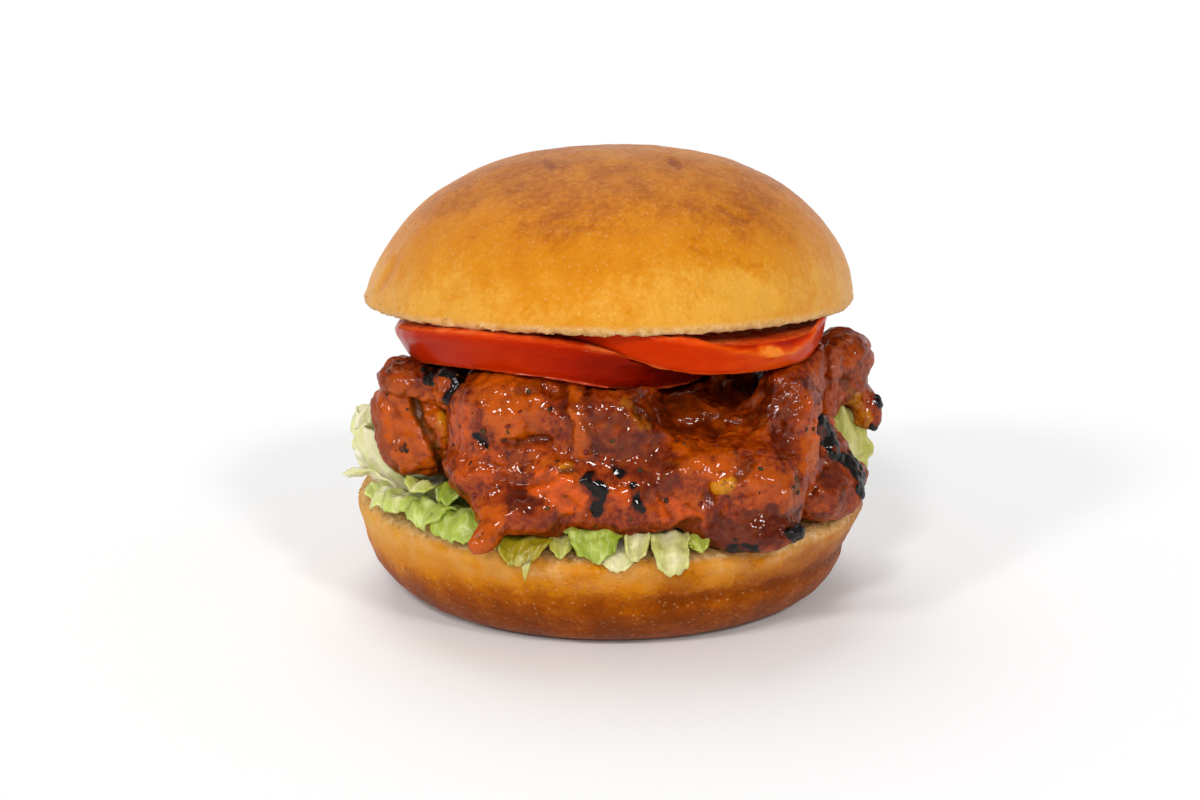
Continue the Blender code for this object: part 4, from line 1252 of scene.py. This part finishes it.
def juice_thread():
    """A thin uneven bead along the lower edge of the left slice, where it faces us."""
    turns = np.radians(np.linspace(-106, -72, 70))
    half = LEFT_SLICE["thickness"] / 2
    reach = LEFT_SLICE["radius"] - LEFT_SLICE["taper"] - 0.45
    ring = np.stack((reach * np.cos(turns), reach * np.sin(turns), turns * 0 - half + 0.3), axis=1)
    ring = left_slice_place(ring)
    thick = 0.30 + 0.45 * field(ring, 3.0, 135)
    curve = bpy.data.curves.new("juice", "CURVE")
    curve.dimensions = "3D"
    curve.bevel_depth = 0.62 * MM
    curve.bevel_resolution = 3
    curve.use_fill_caps = True
    line = curve.splines.new("POLY")
    line.points.add(len(ring) - 1)
    for point, place, width in zip(line.points, (ring * MM).tolist(), thick.tolist()):
        point.co = (*place, 1.0)
        point.radius = max(0.1, width)
    holder = bpy.data.objects.new("juice", curve)
    bpy.context.scene.collection.objects.link(holder)
    bpy.context.view_layer.update()
    mesh = bpy.data.meshes.new_from_object(holder)
    bm = bmesh.new()
    bm.from_mesh(mesh)
    bpy.data.objects.remove(holder)
    bpy.data.meshes.remove(mesh)
    return finish_piece("juice_thread", bm, juice_material(), "tomato", "tomato_left")


juice_thread()

# %% [markdown]
# ## Floor
# A plain pale board. Far off it sweeps up into a low wall, lower than any lamp stands, so that
# neither an edge nor a line between floor and sky ever shows.

# %% Floor
def floor_material():
    made, add, place = new_material("matt white board")
    tooth = add("TexNoise", grain(place, 4, 3))
    bumps = add("Bump", {"Strength": 0.02, "Distance": 0.2 * MM, "Height": tooth})
    matt = {"Base Color": colour("#F8F8F8"), "Roughness": 0.8, "Normal": bumps}
    return surfaced(made, add, matt)


FLOOR_SWEEP = [(0, 0), (3000, 0), (9000, 0), (14000, 700), (18000, 2400), (20000, 4400)]
FLOOR_SPACING = 900.0
FLOOR_SEGMENTS = 64
floor_board = turned(softened(FLOOR_SWEEP, FLOOR_SPACING), FLOOR_SEGMENTS)
object_from("floor", floor_board, floor_material())

# %% [markdown]
# ## Light
# Most of the light comes from four far lamps in front, spread from left to right. Each is a
# small disc in the sky and leaves a sharp spark on every wet blister. One broad lamp high at
# the back and an even white sky add the rest. The colours are shown as they are, without a
# film curve.

# %% Light
MIDDLE = Vector((0.0, 0.0, 0.06))
FRONT_LIGHT = 0.74
FRONT_DISC = math.radians(8)
BACK_LIGHT = 0.9
BACK_DISC = math.radians(45)
SKY_LIGHT = 0.32
FRONT_LAMPS = {
    "far left": (-0.62, -0.66, 0.55),
    "left": (-0.28, -0.80, 0.72),
    "middle": (0.04, -0.86, 0.46),
    "right": (0.42, -0.74, 0.62),
}


def lamp(name, place, energy, angle):
    """A lamp as far off as the sun, from the direction of place, with a disc of this angle."""
    light = bpy.data.lights.new(name, "SUN")
    light.energy = energy
    light.angle = angle
    made = bpy.data.objects.new(name, light)
    made.location = place
    made.rotation_euler = (MIDDLE - Vector(place)).to_track_quat("-Z", "Y").to_euler()
    bpy.context.scene.collection.objects.link(made)


for name, place in FRONT_LAMPS.items():
    lamp(name, place, FRONT_LIGHT, FRONT_DISC)
lamp("high at the back", (-0.12, 0.42, 0.9), BACK_LIGHT, BACK_DISC)

world = bpy.data.worlds.new("studio")
bpy.context.scene.world = world
world.use_nodes = True
sky = world.node_tree.nodes["Background"].inputs
sky["Color"].default_value = (1.0, 1.0, 1.0, 1.0)
sky["Strength"].default_value = SKY_LIGHT
bpy.context.scene.view_settings.view_transform = "Standard"
print("lamps:", len(FRONT_LAMPS) + 1)

# %% [markdown]
# ## Last step
# The scene is brought up to date.

# %% Bring the scene up to date
bpy.context.view_layer.update()
